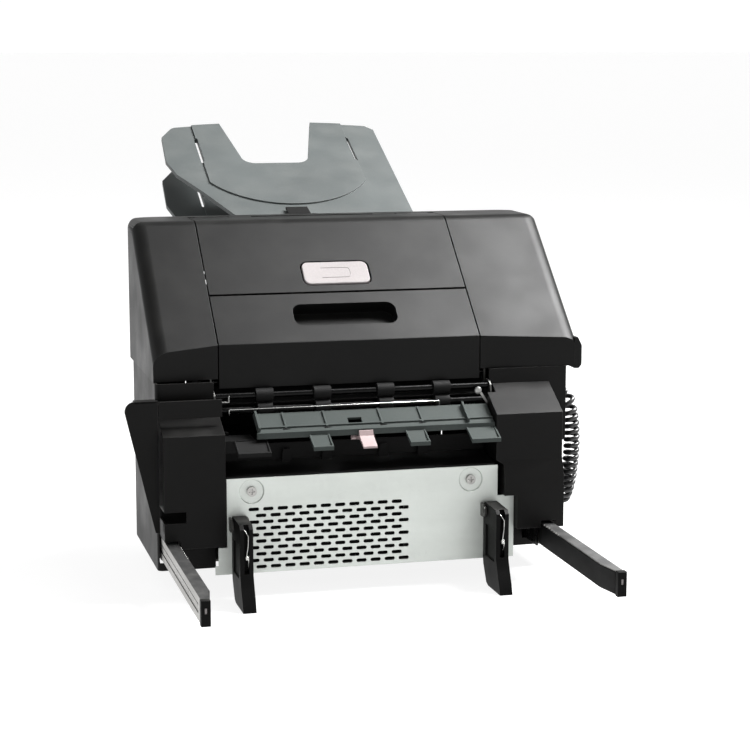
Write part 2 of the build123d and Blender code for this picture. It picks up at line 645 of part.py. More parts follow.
GUIDE_FRONT, GUIDE_REAR = (1.0, 128.0), (25.5, 141.5)
guide_tilt = degrees(atan2(GUIDE_REAR[1] - GUIDE_FRONT[1], GUIDE_REAR[0] - GUIDE_FRONT[0]))
guide_length = (GUIDE_REAR[0] - GUIDE_FRONT[0]) / cos(radians(guide_tilt))
guide_plane = Plane(
    origin=(0, *GUIDE_FRONT), x_dir=(1, 0, 0),
    z_dir=(0, -sin(radians(guide_tilt)), cos(radians(guide_tilt))),
)
with BuildPart() as inlet_guide:
    with BuildSketch(guide_plane):
        with Locations((14.6, 0)):
            Rectangle(222, guide_length, align=(Align.CENTER, Align.MIN))
        with Locations((-4.5, 12)):
            Rectangle(13, 9, mode=Mode.SUBTRACT)
    extrude(amount=-2.4)
    with BuildSketch(guide_plane):
        with Locations((101, 2), (-95, 2)):
            Rectangle(2, guide_length - 3, align=(Align.CENTER, Align.MIN))
    extrude(amount=4.5)
    with BuildSketch(guide_plane):
        with Locations(*[(x, guide_length / 2 + 2) for x in (-70, -32, 20, 58)]):
            Rectangle(1.6, guide_length - 6)
        with Locations((14.6, 7)):
            Rectangle(222, 1.6)
        with Locations((-4.5, 12)):
            Rectangle(13, 9, mode=Mode.SUBTRACT)
    extrude(amount=1.4)
    with Locations((14, -1.0, 123.0)):
        Box(223.2, 3.4, 5.4, align=(Align.CENTER, Align.MIN, Align.MIN))
    for x0, x1 in TONGUES:
        add(tongue(x0, x1))
save("inlet_guide", inlet_guide.part)

LEVER_PIVOT = (8.0, 119.0)
with BuildPart() as inlet_lever:
    with BuildSketch(Plane.YZ.offset(-4.6)):
        with BuildLine():
            Polyline((-3.2, 127.4), (-5.0, 127.4), (-6.8, 122.8), (-21.5, 115.8), (-21.5, 114.0),
                     (-6.0, 120.0), (0.0, 118.3), (8.0, 117.1), (8.0, 120.8), (-3.2, 122.2), close=True)
        make_face()
    extrude(amount=13)
    add(rod(-9, 12.8, LEVER_PIVOT, 2.0))
save("inlet_lever", inlet_lever.part)


# ---------------------------------------------------------------- rollers, idlers and pulleys
def roller_set(centre, radius, stations, width, x0, x1, shaft=SHAFT_R):
    """Shaft with rubber rollers on it, as separate solids."""
    with BuildPart() as rollers:
        for x in stations:
            add(rod(x - width / 2, x + width / 2, centre, radius, shaft))
    return rod(x0, x1, centre, shaft), rollers.part


WIDE = (-84, -30, 30, 84)
END_X = FRAME_X + SHEET_METAL + 0.3
TRACKS = (-141.0, -148.0, -155.0)    # left edges of the three belt tracks
BELT_WIDTH = 5.0
MOTOR_PULLEY_R, TRANSPORT_PULLEY_R = 6.0, 14.0
FEED_PULLEY_R, TO_FEED_R = 5.0, 7.0
EXIT_PULLEY_R, TO_EXIT_R = 8.0, 9.0

feed_shaft, feed_rollers = roller_set(FEED, 6.3, WIDE, 16, -150, END_X)
save("feed_shaft", feed_shaft)
save("feed_rollers", feed_rollers)
save("feed_pulley", rod(TRACKS[1], TRACKS[1] + BELT_WIDTH, FEED, FEED_PULLEY_R, SHAFT_R))

idler_shaft, idler_rollers = roller_set(FEED_IDLER, 6.25, WIDE, 14, -END_X, END_X)
save("feed_idler_shaft", idler_shaft)
save("feed_idler_rollers", idler_rollers)


def drive_rollers(name, centre, radius, pulleys, x0):
    """Hidden drive shaft with its rollers and pulleys in one node of separate solids."""
    shaft, rollers = roller_set(centre, radius, WIDE, 18, x0, END_X)
    with BuildPart() as group:
        add(rod(x0, END_X, centre, SHAFT_R))
    solids = [*rollers.solids(), *group.part.solids()]
    for track, pulley_r in pulleys:
        solids += rod(track, track + BELT_WIDTH, centre, pulley_r, SHAFT_R).solids()
    save(name, Compound(children=solids))


drive_rollers("transport_rollers", TRANSPORT, 9.0, [
    (TRACKS[0], TRANSPORT_PULLEY_R), (TRACKS[1], TO_FEED_R), (TRACKS[2], TO_EXIT_R)], -157)
drive_rollers("upper_exit_rollers", UPPER_EXIT, 8.0, [
    (TRACKS[0], EXIT_PULLEY_R), (TRACKS[2], EXIT_PULLEY_R)], -157)
drive_rollers("lower_exit_rollers", LOWER_EXIT, 8.0, [(TRACKS[0], EXIT_PULLEY_R)], -143)


def idler_bar(name, centre, radius):
    """Turned idler: one bar with a larger diameter opposite each drive roller."""
    with BuildPart() as bar:
        add(rod(-END_X, END_X, centre, SHAFT_R))
        for x in WIDE:
            add(rod(x - 7, x + 7, centre, radius))
    save(name, bar.part)


idler_bar("transport_idlers", TRANSPORT_IDLER, 5.8)
idler_bar("upper_exit_idlers", UPPER_IDLER, 5.0)
idler_bar("lower_exit_idlers", LOWER_IDLER, 5.0)

with BuildPart() as drive_motor:
    with Locations((-FRAME_X, *MOTOR)):
        Box(34, 42, 42, align=(Align.MIN, Align.CENTER, Align.CENTER))
    chamfer(drive_motor.edges().filter_by(Axis.X), 4)
    add(rod(-FRAME_X - 2, -FRAME_X, MOTOR, 11.0))
save("drive_motor", drive_motor.part)

with BuildPart() as motor_pulley:
    add(rod(TRACKS[0], TRACKS[0] + BELT_WIDTH, MOTOR, MOTOR_PULLEY_R))
    add(rod(TRACKS[0] + BELT_WIDTH, -FRAME_X - 2.1, MOTOR, 2.5))
save("motor_pulley", motor_pulley.part)


def belt(track, centre_a, radius_a, centre_b, radius_b):
    """Flat belt round two pulleys, a hair clear of both."""
    clearance, thickness = 0.3, 1.0
    with BuildPart() as loop:
        with BuildSketch(Plane.YZ.offset(track)):
            with Locations(centre_a):
                Circle(radius_a + clearance + thickness)
            with Locations(centre_b):
                Circle(radius_b + clearance + thickness)
            make_hull()
        extrude(amount=BELT_WIDTH)
        with BuildSketch(Plane.YZ.offset(track)):
            with Locations(centre_a):
                Circle(radius_a + clearance)
            with Locations(centre_b):
                Circle(radius_b + clearance)
            make_hull()
        extrude(amount=BELT_WIDTH, mode=Mode.SUBTRACT)
    return loop.part


save("drive_belts", Compound(children=[
    *belt(TRACKS[0], MOTOR, MOTOR_PULLEY_R, TRANSPORT, TRANSPORT_PULLEY_R).solids(),
    *belt(TRACKS[1], FEED, FEED_PULLEY_R, TRANSPORT, TO_FEED_R).solids(),
    *belt(TRACKS[2], TRANSPORT, TO_EXIT_R, UPPER_EXIT, EXIT_PULLEY_R).solids(),
    *belt(TRACKS[0], UPPER_EXIT, EXIT_PULLEY_R, LOWER_EXIT, EXIT_PULLEY_R).solids(),
]))

with BuildPart() as paper_guides:
    add(side_profile(-FRAME_X, [
        (45.0, 148.0), (60.0, 166.0), (80.0, 187.0), (100.0, 204.0),
        (101.0, 202.8), (81.0, 185.8), (61.0, 164.8), (46.0, 146.8)], 2 * FRAME_X))
    add(side_profile(-FRAME_X, [
        (127.0, 222.0), (156.0, 243.0), (157.0, 241.6), (128.0, 220.6)], 2 * FRAME_X))
save("paper_guides", paper_guides.part)

with BuildPart() as diverter_flap:
    add(side_profile(-105, [
        (160.0, 247.2), (176.0, 261.0), (190.0, 270.0), (191.0, 268.0), (178.0, 256.0), (162.0, 245.0)], 210))
    add(rod(-END_X, END_X, DIVERTER, 2.0))
save("diverter_flap", diverter_flap.part)

with BuildPart() as control_board:
    with Locations((FRAME_X + 6, 70, 50)):
        Box(1.6, 100, 100, align=(Align.MIN, Align.MIN, Align.MIN))
    with Locations((FRAME_X + 7.6, 90, 70), (FRAME_X + 7.6, 130, 110)):
        Box(2.5, 22, 22, align=(Align.MIN, Align.MIN, Align.MIN))
    with Locations((FRAME_X + 7.6, 140, 60), (FRAME_X + 7.6, 80, 130)):
        Box(9, 24, 9, align=(Align.MIN, Align.MIN, Align.MIN))
    for y, z in ((74, 54), (166, 54), (74, 146), (166, 146)):
        add(rod(FRAME_X + SHEET_METAL, FRAME_X + 6, (y, z), 2.5))
save("control_board", control_board.part)

# ---------------------------------------------------------------- output bins
BIN_T = 4.0
BIN_RAISE = 1.6
FAR_S, FAR_BULGE = 194.0, 8.0
GROOVES = (-85.5, 79.5)


with BuildSketch() as bin_outline:
    with BuildLine():
        Polyline((106, FAR_S), (114, FAR_S - 9), (114, 0), (-69, 0), (-95, 51), (-117, 90),
                 (-124, 119), (-121, 172), (-107, FAR_S))
        ThreePointArc((-107, FAR_S), (0, FAR_S + FAR_BULGE), (106, FAR_S))
    make_face()
    fillet(bin_outline.vertices().sort_by_distance((-107, FAR_S))[0], 10)
    with BuildLine():
        Polyline((-56, 210), (-42, 109), (25, 109), (48, 210), close=True)
    make_face(mode=Mode.SUBTRACT)
    fillet([v for v in bin_outline.vertices() if abs(v.Y - 109) < 0.1], 14)

with BuildSketch() as bin_panel:
    add(bin_outline.sketch)
    with BuildLine():
        ThreePointArc((GROOVES[0], 70), (-3, 22), (GROOVES[1], 70))
        Polyline((GROOVES[1], 70), (GROOVES[1], 210), (GROOVES[0], 210), (GROOVES[0], 70))
    make_face(mode=Mode.INTERSECT)


def output_bin(name, drop):
    """Inclined bin: a tray with a cut-away side, a U cut-out and a raised inner panel."""
    tray = Plane(
        origin=(0, BIN_START[0], BIN_START[1] - drop), x_dir=(1, 0, 0),
        z_dir=(0, -sin(radians(BIN_TILT)), cos(radians(BIN_TILT))),
    )
    with BuildPart() as body:
        with BuildSketch(tray):
            add(bin_outline.sketch)
        extrude(amount=-BIN_T)
        with BuildSketch(tray):
            add(bin_panel.sketch)
        extrude(amount=BIN_RAISE)
        with BuildSketch(tray.offset(BIN_RAISE)):
            for x in GROOVES:
                with Locations((x, 140)):
                    SlotOverall(52, 3.2, rotation=90)
        extrude(amount=-BIN_T - 4, mode=Mode.SUBTRACT)
        y0, z0 = BIN_START[0], BIN_START[1] - drop
        under = (y0 + BIN_T * sin(radians(BIN_TILT)), z0 - BIN_T * cos(radians(BIN_TILT)))
        add(side_profile(-68, [
            (REAR_Y + 0.4, z0 - 22), (y0, z0), under, (REAR_Y + 5, z0 - 22),
            (REAR_Y + 3.2, z0 - 40), (REAR_Y + 0.4, z0 - 40)], 182))
        for x in (-60, 0, 60, 106):
            with BuildSketch(Plane.YZ.offset(x)):
                with BuildLine():
                    Polyline((REAR_Y + 2, z0 - 38), (REAR_Y + 2, z0 - 14), (y0 + 4, z0 - 2),
                             (y0 + 90, z0 + 38.2), (y0 + 90, z0 + 36), (y0 + 20, z0 - 2), close=True)
                make_face()
            extrude(amount=2)
    save(name, body.part)


output_bin("upper_bin", 0)
output_bin("lower_bin", BIN_STEP)


def bin_flag(name, drop):
    """Light lever that rests just above the bin and lifts as the bin fills."""
    pivot = (REAR_Y + 3.2, TOP_Z - 3 - drop)
    with BuildPart() as flag:
        add(side_profile(-18, [
            (pivot[0] - 1.8, pivot[1] - 1.2), (pivot[0] - 1, pivot[1] + 1.8), (pivot[0] + 4, pivot[1] + 2.2),
            (pivot[0] + 23, pivot[1] + 8), (pivot[0] + 23, pivot[1] + 6.4), (pivot[0] + 5, pivot[1] + 0.6),
        ], 22.4))
        add(rod(-21, 7.4, pivot, 1.0))
    save(name, flag.part)


bin_flag("upper_bin_flag", 0)
bin_flag("lower_bin_flag", BIN_STEP)

# ---------------------------------------------------------------- slides
MEMBER_INNER_X = SLIDE_X - 11.1
MEMBER_TIP_X = SLIDE_X - 6.5
MEMBER_END_Y = 60.0
CHANNEL_END_Y = 171.0
CAP_Y = -186.0


def slide(side, out):
    """Fixed channel, moving member and end cap of one telescopic slide."""
    low, high = SLIDE_Z
    with BuildPart() as channel:
        with BuildSketch(Plane.XZ.offset(-33)):
            with Locations((out * (MEMBER_INNER_X - 1.9), (low + high) / 2)):
                Rectangle(1.4, high - low + 3.8)
            for z in (low - 1.2, high + 1.2):
                with Locations((out * (SLIDE_X - 7.0), z)):
                    Rectangle(13.2, 1.4)
        extrude(amount=-(CHANNEL_END_Y - 33))
        with Locations((out * (MEMBER_INNER_X - 1.9), -1, 8.6)):
            Box(1.4, 40, 17.5, align=(Align.CENTER, Align.MIN, Align.MIN))
    save(f"{side}_slide_channel", channel.part)
    with BuildPart() as member:
        with BuildSketch(Plane.XY.offset(low)):
            with BuildLine():
                Polyline((out * SLIDE_X, MEMBER_END_Y), (out * SLIDE_X, CAP_Y), (out * MEMBER_TIP_X, CAP_Y),
                         (out * MEMBER_INNER_X, CAP_Y + 26), (out * MEMBER_INNER_X, MEMBER_END_Y), close=True)
            make_face()
        extrude(amount=high - low)
        with Locations((out * SLIDE_X, CAP_Y + 12, (low + high) / 2)):
            Box(1.6, 400, 9, align=(Align.CENTER, Align.MIN, Align.CENTER), mode=Mode.SUBTRACT)
    save(f"{side}_slide_member", member.part)
    with BuildPart() as cap:
        with BuildSketch(Plane.XY.offset(low - 0.5)) as foot:
            with Locations((out * (SLIDE_X + MEMBER_TIP_X) / 2, CAP_Y)):
                Rectangle(SLIDE_X - MEMBER_TIP_X + 1.6, CAP_Y - SLIDE_TIP_Y, align=(Align.CENTER, Align.MAX))
        extrude(amount=high - low + 1)
        fillet(cap.edges().group_by(Axis.Y)[0], 1.0)
        with Locations((out * (SLIDE_X + MEMBER_TIP_X) / 2, SLIDE_TIP_Y, (low + high) / 2 + 2)):
            Box(2.2, 3, 5, align=(Align.CENTER, Align.MIN, Align.CENTER), mode=Mode.SUBTRACT)
    save(f"{side}_slide_cap", cap.part)


slide("left", -1)
slide("right", 1)

# ---------------------------------------------------------------- latch hooks
HOOK_T = 12.0
HOOKS = {"left": -122.0, "right": 114.9}
HOOK_PIVOT = (-9.0, 47.0)
hook_outline = [
    (-1.5, 51), (-5, 55), (-37, 54), (-41, 50.4), (-41, 9), (-46, -3), (-51, -13), (-54, -22),
    (-18, -22), (-12, -20), (-2.5, -4), (-1.5, 0),
]
with BuildPart() as hook_brackets:
    for x in HOOKS.values():
        for ear, flange in ((x - 2.4, x - 2.4), (x + HOOK_T + 0.4, x + HOOK_T - 4.2)):
            with BuildSketch(Plane.YZ.offset(ear)):
                with Locations(HOOK_PIVOT):
                    Circle(5)
                with Locations((0, HOOK_PIVOT[1])):
                    Rectangle(9, 12, align=(Align.MAX, Align.CENTER))
            extrude(amount=2)
            with Locations((flange, -1.0, HOOK_PIVOT[1] - 3.5)):
                Box(6.6, 1.0, 5, align=(Align.MIN, Align.MIN, Align.CENTER))
        add(rod(x - 3, x + HOOK_T + 3, HOOK_PIVOT, 2.0))
save("hook_brackets", hook_brackets.part)

for side, x in HOOKS.items():
    with BuildPart() as hook:
        with BuildSketch(Plane.YZ.offset(x)) as blade:
            with BuildLine():
                Polyline(*hook_outline, close=True)
            make_face()
            with Locations(HOOK_PIVOT):
                Circle(2.05, mode=Mode.SUBTRACT)
        extrude(amount=HOOK_T)
        with Locations((x + HOOK_T / 2, -41, 32)):
            Box(4.4, 14, 44, mode=Mode.SUBTRACT)
        with Locations((x, -22, 20), (x + HOOK_T, -22, 20)):
            Box(3, 26, 30, mode=Mode.SUBTRACT)
    save(f"{side}_hook", hook.part)
    with BuildPart() as spring:
        add(rod(x + HOOK_T / 2 - 1.6, x + HOOK_T / 2 + 1.6, (-38, 27), 2.6, 1.7))
        with Locations((x + HOOK_T / 2 + 1.0, -39.9, 38)):
            Cylinder(0.55, 22)
    save(f"{side}_hook_spring", spring.part)

# ---------------------------------------------------------------- curly cord
GLAND_LENGTH = 12.0
CORD_ROUTE = [
    (GLAND_X, GLAND_Y, HOOD_BOTTOM_Z - GLAND_LENGTH), (208.6, 50.0, 150.0), (214.5, 49.5, 137.0),
    (219.0, 49.0, 116.0), (219.8, 50.0, 84.0), (218.8, 57.0, 54.0), (217.4, 68.0, 37.0),
    (215.8, 84.0, 28.0), (214.0, 100.0, 25.8), (212.8, 112.0, 25.7), (PARK_X, PARK_Y, PARK_Z),
]
CURL_FIRST, CURL_LAST = 2, 6         # the curled stretch of the route


def cord_tube(points, radius):
    """Tube along straight runs joined by the largest arcs that the runs allow."""
    vectors = [Vector(*p) for p in points]
    radii = []
    for before, here, after in zip(vectors, vectors[1:], vectors[2:]):
        run = min((here - before).length, (after - here).length)
        half_turn = radians((here - before).get_angle(after - here)) / 2
        radii.append(0.45 * run / tan(half_turn))
    print("cord radii", [round(r, 1) for r in radii])
    with BuildPart() as tube:
        with BuildLine() as path:
            FilletPolyline(*points, radius=radii)
        with BuildSketch(Plane(origin=path.line @ 0, z_dir=path.line % 0)):
            Circle(radius)
        sweep(path=path.line)
    length = sum(edge.length for edge in path.edges())
    print("length", round(length, 1), "volume ratio", tube.part.volume / (pi * radius**2 * length))
    return tube.part


save("cord_curl", cord_tube(CORD_ROUTE[CURL_FIRST:CURL_LAST + 1], CURL_R))
save("cord_tails", Compound(children=[
    *cord_tube(CORD_ROUTE[:CURL_FIRST + 1], CORD_R).solids(),
    *cord_tube(CORD_ROUTE[CURL_LAST:], CORD_R).solids(),
]))

with BuildPart() as cord_gland:
    with BuildSketch(Plane.XY.offset(HOOD_BOTTOM_Z)):
        with Locations((GLAND_X, GLAND_Y)):
            Circle(4.7)
    extrude(amount=-GLAND_LENGTH, taper=9)
save("cord_gland", cord_gland.part)

with BuildPart() as cord_connector:
    with Locations((PARK_X, PARK_Y, PARK_Z)):
        Box(CONNECTOR[0], CONNECTOR[1] - 2, CONNECTOR[2], align=(Align.CENTER, Align.MIN, Align.CENTER))
    chamfer(cord_connector.edges().filter_by(Axis.Y), 1.5)
    with Locations((PARK_X, PARK_Y + CONNECTOR[1] - 2, PARK_Z)):
        Box(8.0, 9, 5.0, align=(Align.CENTER, Align.MIN, Align.CENTER))
save("cord_connector", cord_connector.part)
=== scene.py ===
import json
from math import cos, radians, sin, tau

import bmesh
import bpy
from mathutils import Matrix, Quaternion, Vector


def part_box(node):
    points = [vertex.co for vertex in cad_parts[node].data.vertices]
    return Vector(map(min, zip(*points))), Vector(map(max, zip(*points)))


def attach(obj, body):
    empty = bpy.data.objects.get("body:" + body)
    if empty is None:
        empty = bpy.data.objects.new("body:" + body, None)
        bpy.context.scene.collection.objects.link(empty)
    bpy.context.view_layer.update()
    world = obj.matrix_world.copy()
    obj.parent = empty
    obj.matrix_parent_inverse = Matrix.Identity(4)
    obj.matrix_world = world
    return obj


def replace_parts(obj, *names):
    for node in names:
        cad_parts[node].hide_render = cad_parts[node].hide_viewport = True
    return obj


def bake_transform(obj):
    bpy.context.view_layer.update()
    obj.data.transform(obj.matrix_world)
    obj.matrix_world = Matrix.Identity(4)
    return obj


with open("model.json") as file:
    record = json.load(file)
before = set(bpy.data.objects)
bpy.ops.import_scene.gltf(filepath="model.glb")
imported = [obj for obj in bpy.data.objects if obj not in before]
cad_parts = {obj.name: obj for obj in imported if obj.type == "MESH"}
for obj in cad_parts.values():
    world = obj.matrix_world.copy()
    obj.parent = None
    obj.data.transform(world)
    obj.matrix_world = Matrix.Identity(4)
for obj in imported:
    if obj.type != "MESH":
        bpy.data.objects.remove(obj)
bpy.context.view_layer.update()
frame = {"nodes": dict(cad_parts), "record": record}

NODES = frame["nodes"]
SCENE = bpy.context.scene
BODY_OF = {n: b for b, members in frame["record"]["behaviour"]["bodies"].items() for n in members}
SLOT_OF = {s["node"]: s["material_slot"] for s in frame["record"]["subparts"]}
MM = 0.001
X, Y, Z = Vector((1, 0, 0)), Vector((0, 1, 0)), Vector((0, 0, 1))

SLOPE = radians(40.4)                               # of the hood and its two doors
CREASE = Vector((0, 0.043, 0.203))                  # lower edge of the slope, at mid width
ALONG = Vector((0, cos(SLOPE), sin(SLOPE)))         # up the slope
OUTWARD = Vector((0, -sin(SLOPE), cos(SLOPE)))      # square to the slope
BUTTON_AT = CREASE + ALONG * 86 * MM                # middle of the release button


def mm(*v):
    """Vector from millimetres."""
    return Vector([c * MM for c in v])


# ------------------------------------------------------------------ camera, floor and light
camera = bpy.data.objects.new("camera", bpy.data.cameras.new("camera"))
camera.data.lens, camera.data.sensor_width = 95.47, 36.0
camera.data.clip_end = 500
camera.location = (-0.4328, -1.7214, 0.4682)
camera.rotation_euler = (radians(80.7), 0, radians(-14.47))
SCENE.collection.objects.link(camera)
SCENE.camera = camera
SCENE.view_settings.view_transform = "Standard"
SCENE.view_settings.look = "None"

FLOOR_Z = -0.0222


def area_light(name, place, target, size, watts):
    """Soft box at a place, turned towards a target."""
    data = bpy.data.lights.new(name, "AREA")
    data.shape, data.size, data.size_y = "RECTANGLE", *size
    data.energy = watts
    light = bpy.data.objects.new(name, data)
    light.location = place
    light.rotation_euler = (Vector(target) - Vector(place)).to_track_quat("-Z", "Y").to_euler()
    SCENE.collection.objects.link(light)
    return light


area_light("key_strong", (1.48, 0.12, 1.95), (0.35, 0.1, 0.2), (0.95, 1.4), 228)
area_light("key_middle", (0.84, 0.12, 2.05), (0.35, 0.1, 0.2), (0.34, 1.4), 19)
area_light("key_weak", (0.48, 0.12, 2.08), (0.2, 0.1, 0.2), (0.34, 1.4), 3)
area_light("left_box", (-1.9, 0.35, 0.95), (0, 0.1, 0.15), (0.9, 1.3), 9)
area_light("front_fill", (-0.9, -2.1, 1.5), (0, 0, 0.12), (1.0, 0.7), 3)

world = bpy.data.worlds.new("studio")
SCENE.world = world
world.use_nodes = True
sky = world.node_tree
sky.nodes["Background"].inputs["Color"].default_value = (1.0, 1.0, 1.0, 1)
heading = sky.nodes.new("ShaderNodeTexCoord")
climb = sky.nodes.new("ShaderNodeSeparateXYZ")
fall = sky.nodes.new("ShaderNodeMapRange")          # white backdrop near the horizon, darker room above
sky.links.new(heading.outputs["Generated"], climb.inputs[0])
sky.links.new(climb.outputs["Z"], fall.inputs["Value"])
for key, number in (("From Min", 0.12), ("From Max", 0.45), ("To Min", 1.02), ("To Max", 0.42)):
    fall.inputs[key].default_value = number
sky.links.new(fall.outputs["Result"], sky.nodes["Background"].inputs["Strength"])


# ------------------------------------------------------------------ cord
CORD_D = 4.5 * MM
CORD_ROUTE = [mm(*p) for p in (
    (208.4, 50, 160), (208.6, 50, 150), (214.5, 49.5, 137), (219, 49, 116), (219.8, 50, 84),
    (218.8, 57, 54), (217.4, 68, 37), (215.8, 84, 28), (214, 100, 25.8), (212.8, 112, 25.7), (212.5, 124, 26),
)]
CURL_RADIUS = 5.75 * MM
CURL_FROM, CURL_TO = 13 * MM, 131 * MM              # stretch of the route that is curled
LOOSE_LOOPS, LOOSE_PITCH, PITCH = 2, 10.4 * MM, 6.5 * MM
GROW_TURNS = 0.6                                    # turns in which the curl widens at each end
STEPS_PER_TURN = 20
TAIL_STEPS = 14
GLAND, CONNECTOR = CORD_ROUTE[0], CORD_ROUTE[-1]


def read_back(points):
    """Points of the smooth curve that the control points pull, read back as a mesh."""
    data = bpy.data.curves.new("route", "CURVE")
    data.dimensions = "3D"
    data.resolution_u = 24
    spline = data.splines.new("NURBS")
    spline.points.add(len(points) - 1)
    for point, p in zip(spline.points, points):
        point.co = (*p, 1)
    spline.order_u = 3
    spline.use_endpoint_u = True
    route = bpy.data.objects.new("route", data)
    SCENE.collection.objects.link(route)
    bpy.context.view_layer.update()
    mesh = bpy.data.meshes.new_from_object(route)
    found = [v.co.copy() for v in mesh.vertices]
    bpy.data.objects.remove(route)
    bpy.data.meshes.remove(mesh)
    return found


def frames_along(points):
    """Distance, point, tangent and a side that doesn't twist, for each point of a line."""
    side, travelled, rows = Vector((1, 0, 0)), 0.0, []
    for i, p in enumerate(points):
        tangent = (points[min(i + 1, len(points) - 1)] - points[max(i - 1, 0)]).normalized()
        side = (side - tangent * side.dot(tangent)).normalized()
        travelled += (p - points[i - 1]).length if i else 0.0
        rows.append((travelled, p, tangent, side.copy()))
    return rows


def at_distance(rows, s):
    """Point, tangent and side of a line at a distance along it."""
    for (s0, p0, t0, a0), (s1, p1, t1, a1) in zip(rows, rows[1:]):
        if s <= s1:
            f = (s - s0) / max(s1 - s0, 1e-9)
            return p0.lerp(p1, f), t0.lerp(t1, f).normalized(), a0.lerp(a1, f).normalized()
    return rows[-1][1:]


def curl_points(rows):
    """Line of the wire: straight out of the gland, wound round the route, straight to the connector."""
    line = [at_distance(rows, CURL_FROM * i / 4)[0] for i in range(4)]
    s, turn = CURL_FROM, 0.0
    while s < CURL_TO:
        p, tangent, side = at_distance(rows, s)
        grow = max(0.0, min(1.0, turn / GROW_TURNS, (CURL_TO - s) / PITCH / GROW_TURNS)) ** 0.7
        spoke = Quaternion(tangent, tau * turn) @ side
        line.append(p + spoke * CURL_RADIUS * grow)
        pitch = LOOSE_PITCH if turn < LOOSE_LOOPS else PITCH
        turn += 1 / STEPS_PER_TURN
        s += pitch / STEPS_PER_TURN
    end = rows[-1][0]
    for i in range(1, TAIL_STEPS + 1):
        line.append(at_distance(rows, CURL_TO + (end - CURL_TO) * i / TAIL_STEPS)[0])
    return line


def wire(name, points, radius, body, resolution=5):
    """Round wire along a line: a bevelled curve turned into a mesh."""
    data = bpy.data.curves.new(name, "CURVE")
    data.dimensions = "3D"
    data.bevel_depth, data.bevel_resolution, data.use_fill_caps = radius, resolution, True
    spline = data.splines.new("POLY")
    spline.points.add(len(points) - 1)
    for point, p in zip(spline.points, points):
        point.co = (*p, 1)
    curve = bpy.data.objects.new(name + "_line", data)
    SCENE.collection.objects.link(curve)
    bpy.context.view_layer.update()
    mesh = bpy.data.meshes.new_from_object(curve)
    bpy.data.objects.remove(curve)
    mesh.shade_smooth()
    mesh.set_sharp_from_angle(angle=radians(50))
    piece = bpy.data.objects.new(name, mesh)
    SCENE.collection.objects.link(piece)
    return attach(piece, body)


cord_line = curl_points(frames_along(read_back(CORD_ROUTE)))
curly_cord = wire("curly_cord", cord_line, CORD_D / 2, "chassis", 6)
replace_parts(curly_cord, "cord_curl", "cord_tails")


# ------------------------------------------------------------------ materials
class Graph:
    """Short calls for building one material's nodes; every pattern is laid out in object space."""

    def __init__(self, name):
        self.material = bpy.data.materials.new(name)
        self.material.use_nodes = True
        self.tree = self.material.node_tree
        self.shader = self.tree.nodes["Principled BSDF"]
        self.place = self.node("TexCoord").outputs["Object"]

    def node(self, kind, **values):
        made = self.tree.nodes.new("ShaderNode" + kind)
        for key, value in values.items():
            setattr(made, key, value)
        return made

    def link(self, source, target):
        if isinstance(source, bpy.types.NodeSocket):
            self.tree.links.new(source, target)
        else:
            target.default_value = source

    def stretched(self, scale):
        mapping = self.node("Mapping")
        mapping.inputs["Scale"].default_value = scale
        self.link(self.place, mapping.inputs["Vector"])
        return mapping.outputs["Vector"]

    def noise(self, scale, detail=2.0, rough=0.5, place=None):
        made = self.node("TexNoise")
        self.link(place or self.place, made.inputs["Vector"])
        made.inputs["Scale"].default_value = scale
        made.inputs["Detail"].default_value = detail
        made.inputs["Roughness"].default_value = rough
        return made.outputs["Fac"]

    def cells(self, scale):
        """A colour of its own for each cell."""
        made = self.node("TexVoronoi", feature="F1")
        self.link(self.place, made.inputs["Vector"])
        made.inputs["Scale"].default_value = scale
        return made.outputs["Color"]

    def remap(self, value, low, high, new_low, new_high):
        made = self.node("MapRange")
        self.link(value, made.inputs["Value"])
        for key, number in (("From Min", low), ("From Max", high),
                            ("To Min", new_low), ("To Max", new_high)):
            made.inputs[key].default_value = number
        return made.outputs["Result"]

    def maths(self, operation, a, b=0.0):
        made = self.node("Math", operation=operation)
        self.link(a, made.inputs[0])
        self.link(b, made.inputs[1])
        return made.outputs[0]

    def mix(self, factor, a, b):
        made = self.node("Mix", data_type="RGBA")
        self.link(factor, made.inputs["Factor"])
        for value, target in ((a, made.inputs[6]), (b, made.inputs[7])):
            self.link((*value, 1) if isinstance(value, (tuple, list)) else value, target)
        return made.outputs[2]

    def soft_edges(self, radius):
        made = self.node("Bevel", samples=4)
        made.inputs["Radius"].default_value = radius
        return made.outputs["Normal"]

    def edge_mask(self, rounded):
        """1 along sharp edges, 0 on open faces."""
        dot = self.node("VectorMath", operation="DOT_PRODUCT")
        self.link(rounded, dot.inputs[0])
        self.link(self.node("NewGeometry").outputs["True Normal"], dot.inputs[1])
        return self.remap(dot.outputs["Value"], 0.75, 0.97, 1.0, 0.0)

    def upward(self, low=0.55, high=0.98):
        """1 on faces that look up, where dust settles."""
        parts = self.node("SeparateXYZ")
        self.link(self.node("NewGeometry").outputs["True Normal"], parts.inputs[0])
        return self.remap(parts.outputs["Z"], low, high, 0.0, 1.0)

    def bump(self, height, strength, distance, normal=None):
        made = self.node("Bump")
        made.inputs["Strength"].default_value = strength
        made.inputs["Distance"].default_value = distance
        self.link(height, made.inputs["Height"])
        if normal is not None:
            self.link(normal, made.inputs["Normal"])
        return made.outputs["Normal"]

    def finish(self, colour, roughness, normal=None, metallic=0.0, ior=1.5, **constants):
        self.link(colour, self.shader.inputs["Base Color"])
        self.link(roughness, self.shader.inputs["Roughness"])
        if normal is not None:
            self.link(normal, self.shader.inputs["Normal"])
        self.shader.inputs["Metallic"].default_value = metallic
        self.shader.inputs["IOR"].default_value = ior
        for key, value in constants.items():
            self.shader.inputs[key.replace("_", " ")].default_value = value
        return self.material


def scaled(colour, k):
    """Colour times a factor."""
    return tuple(min(1.0, c * k) for c in colour)


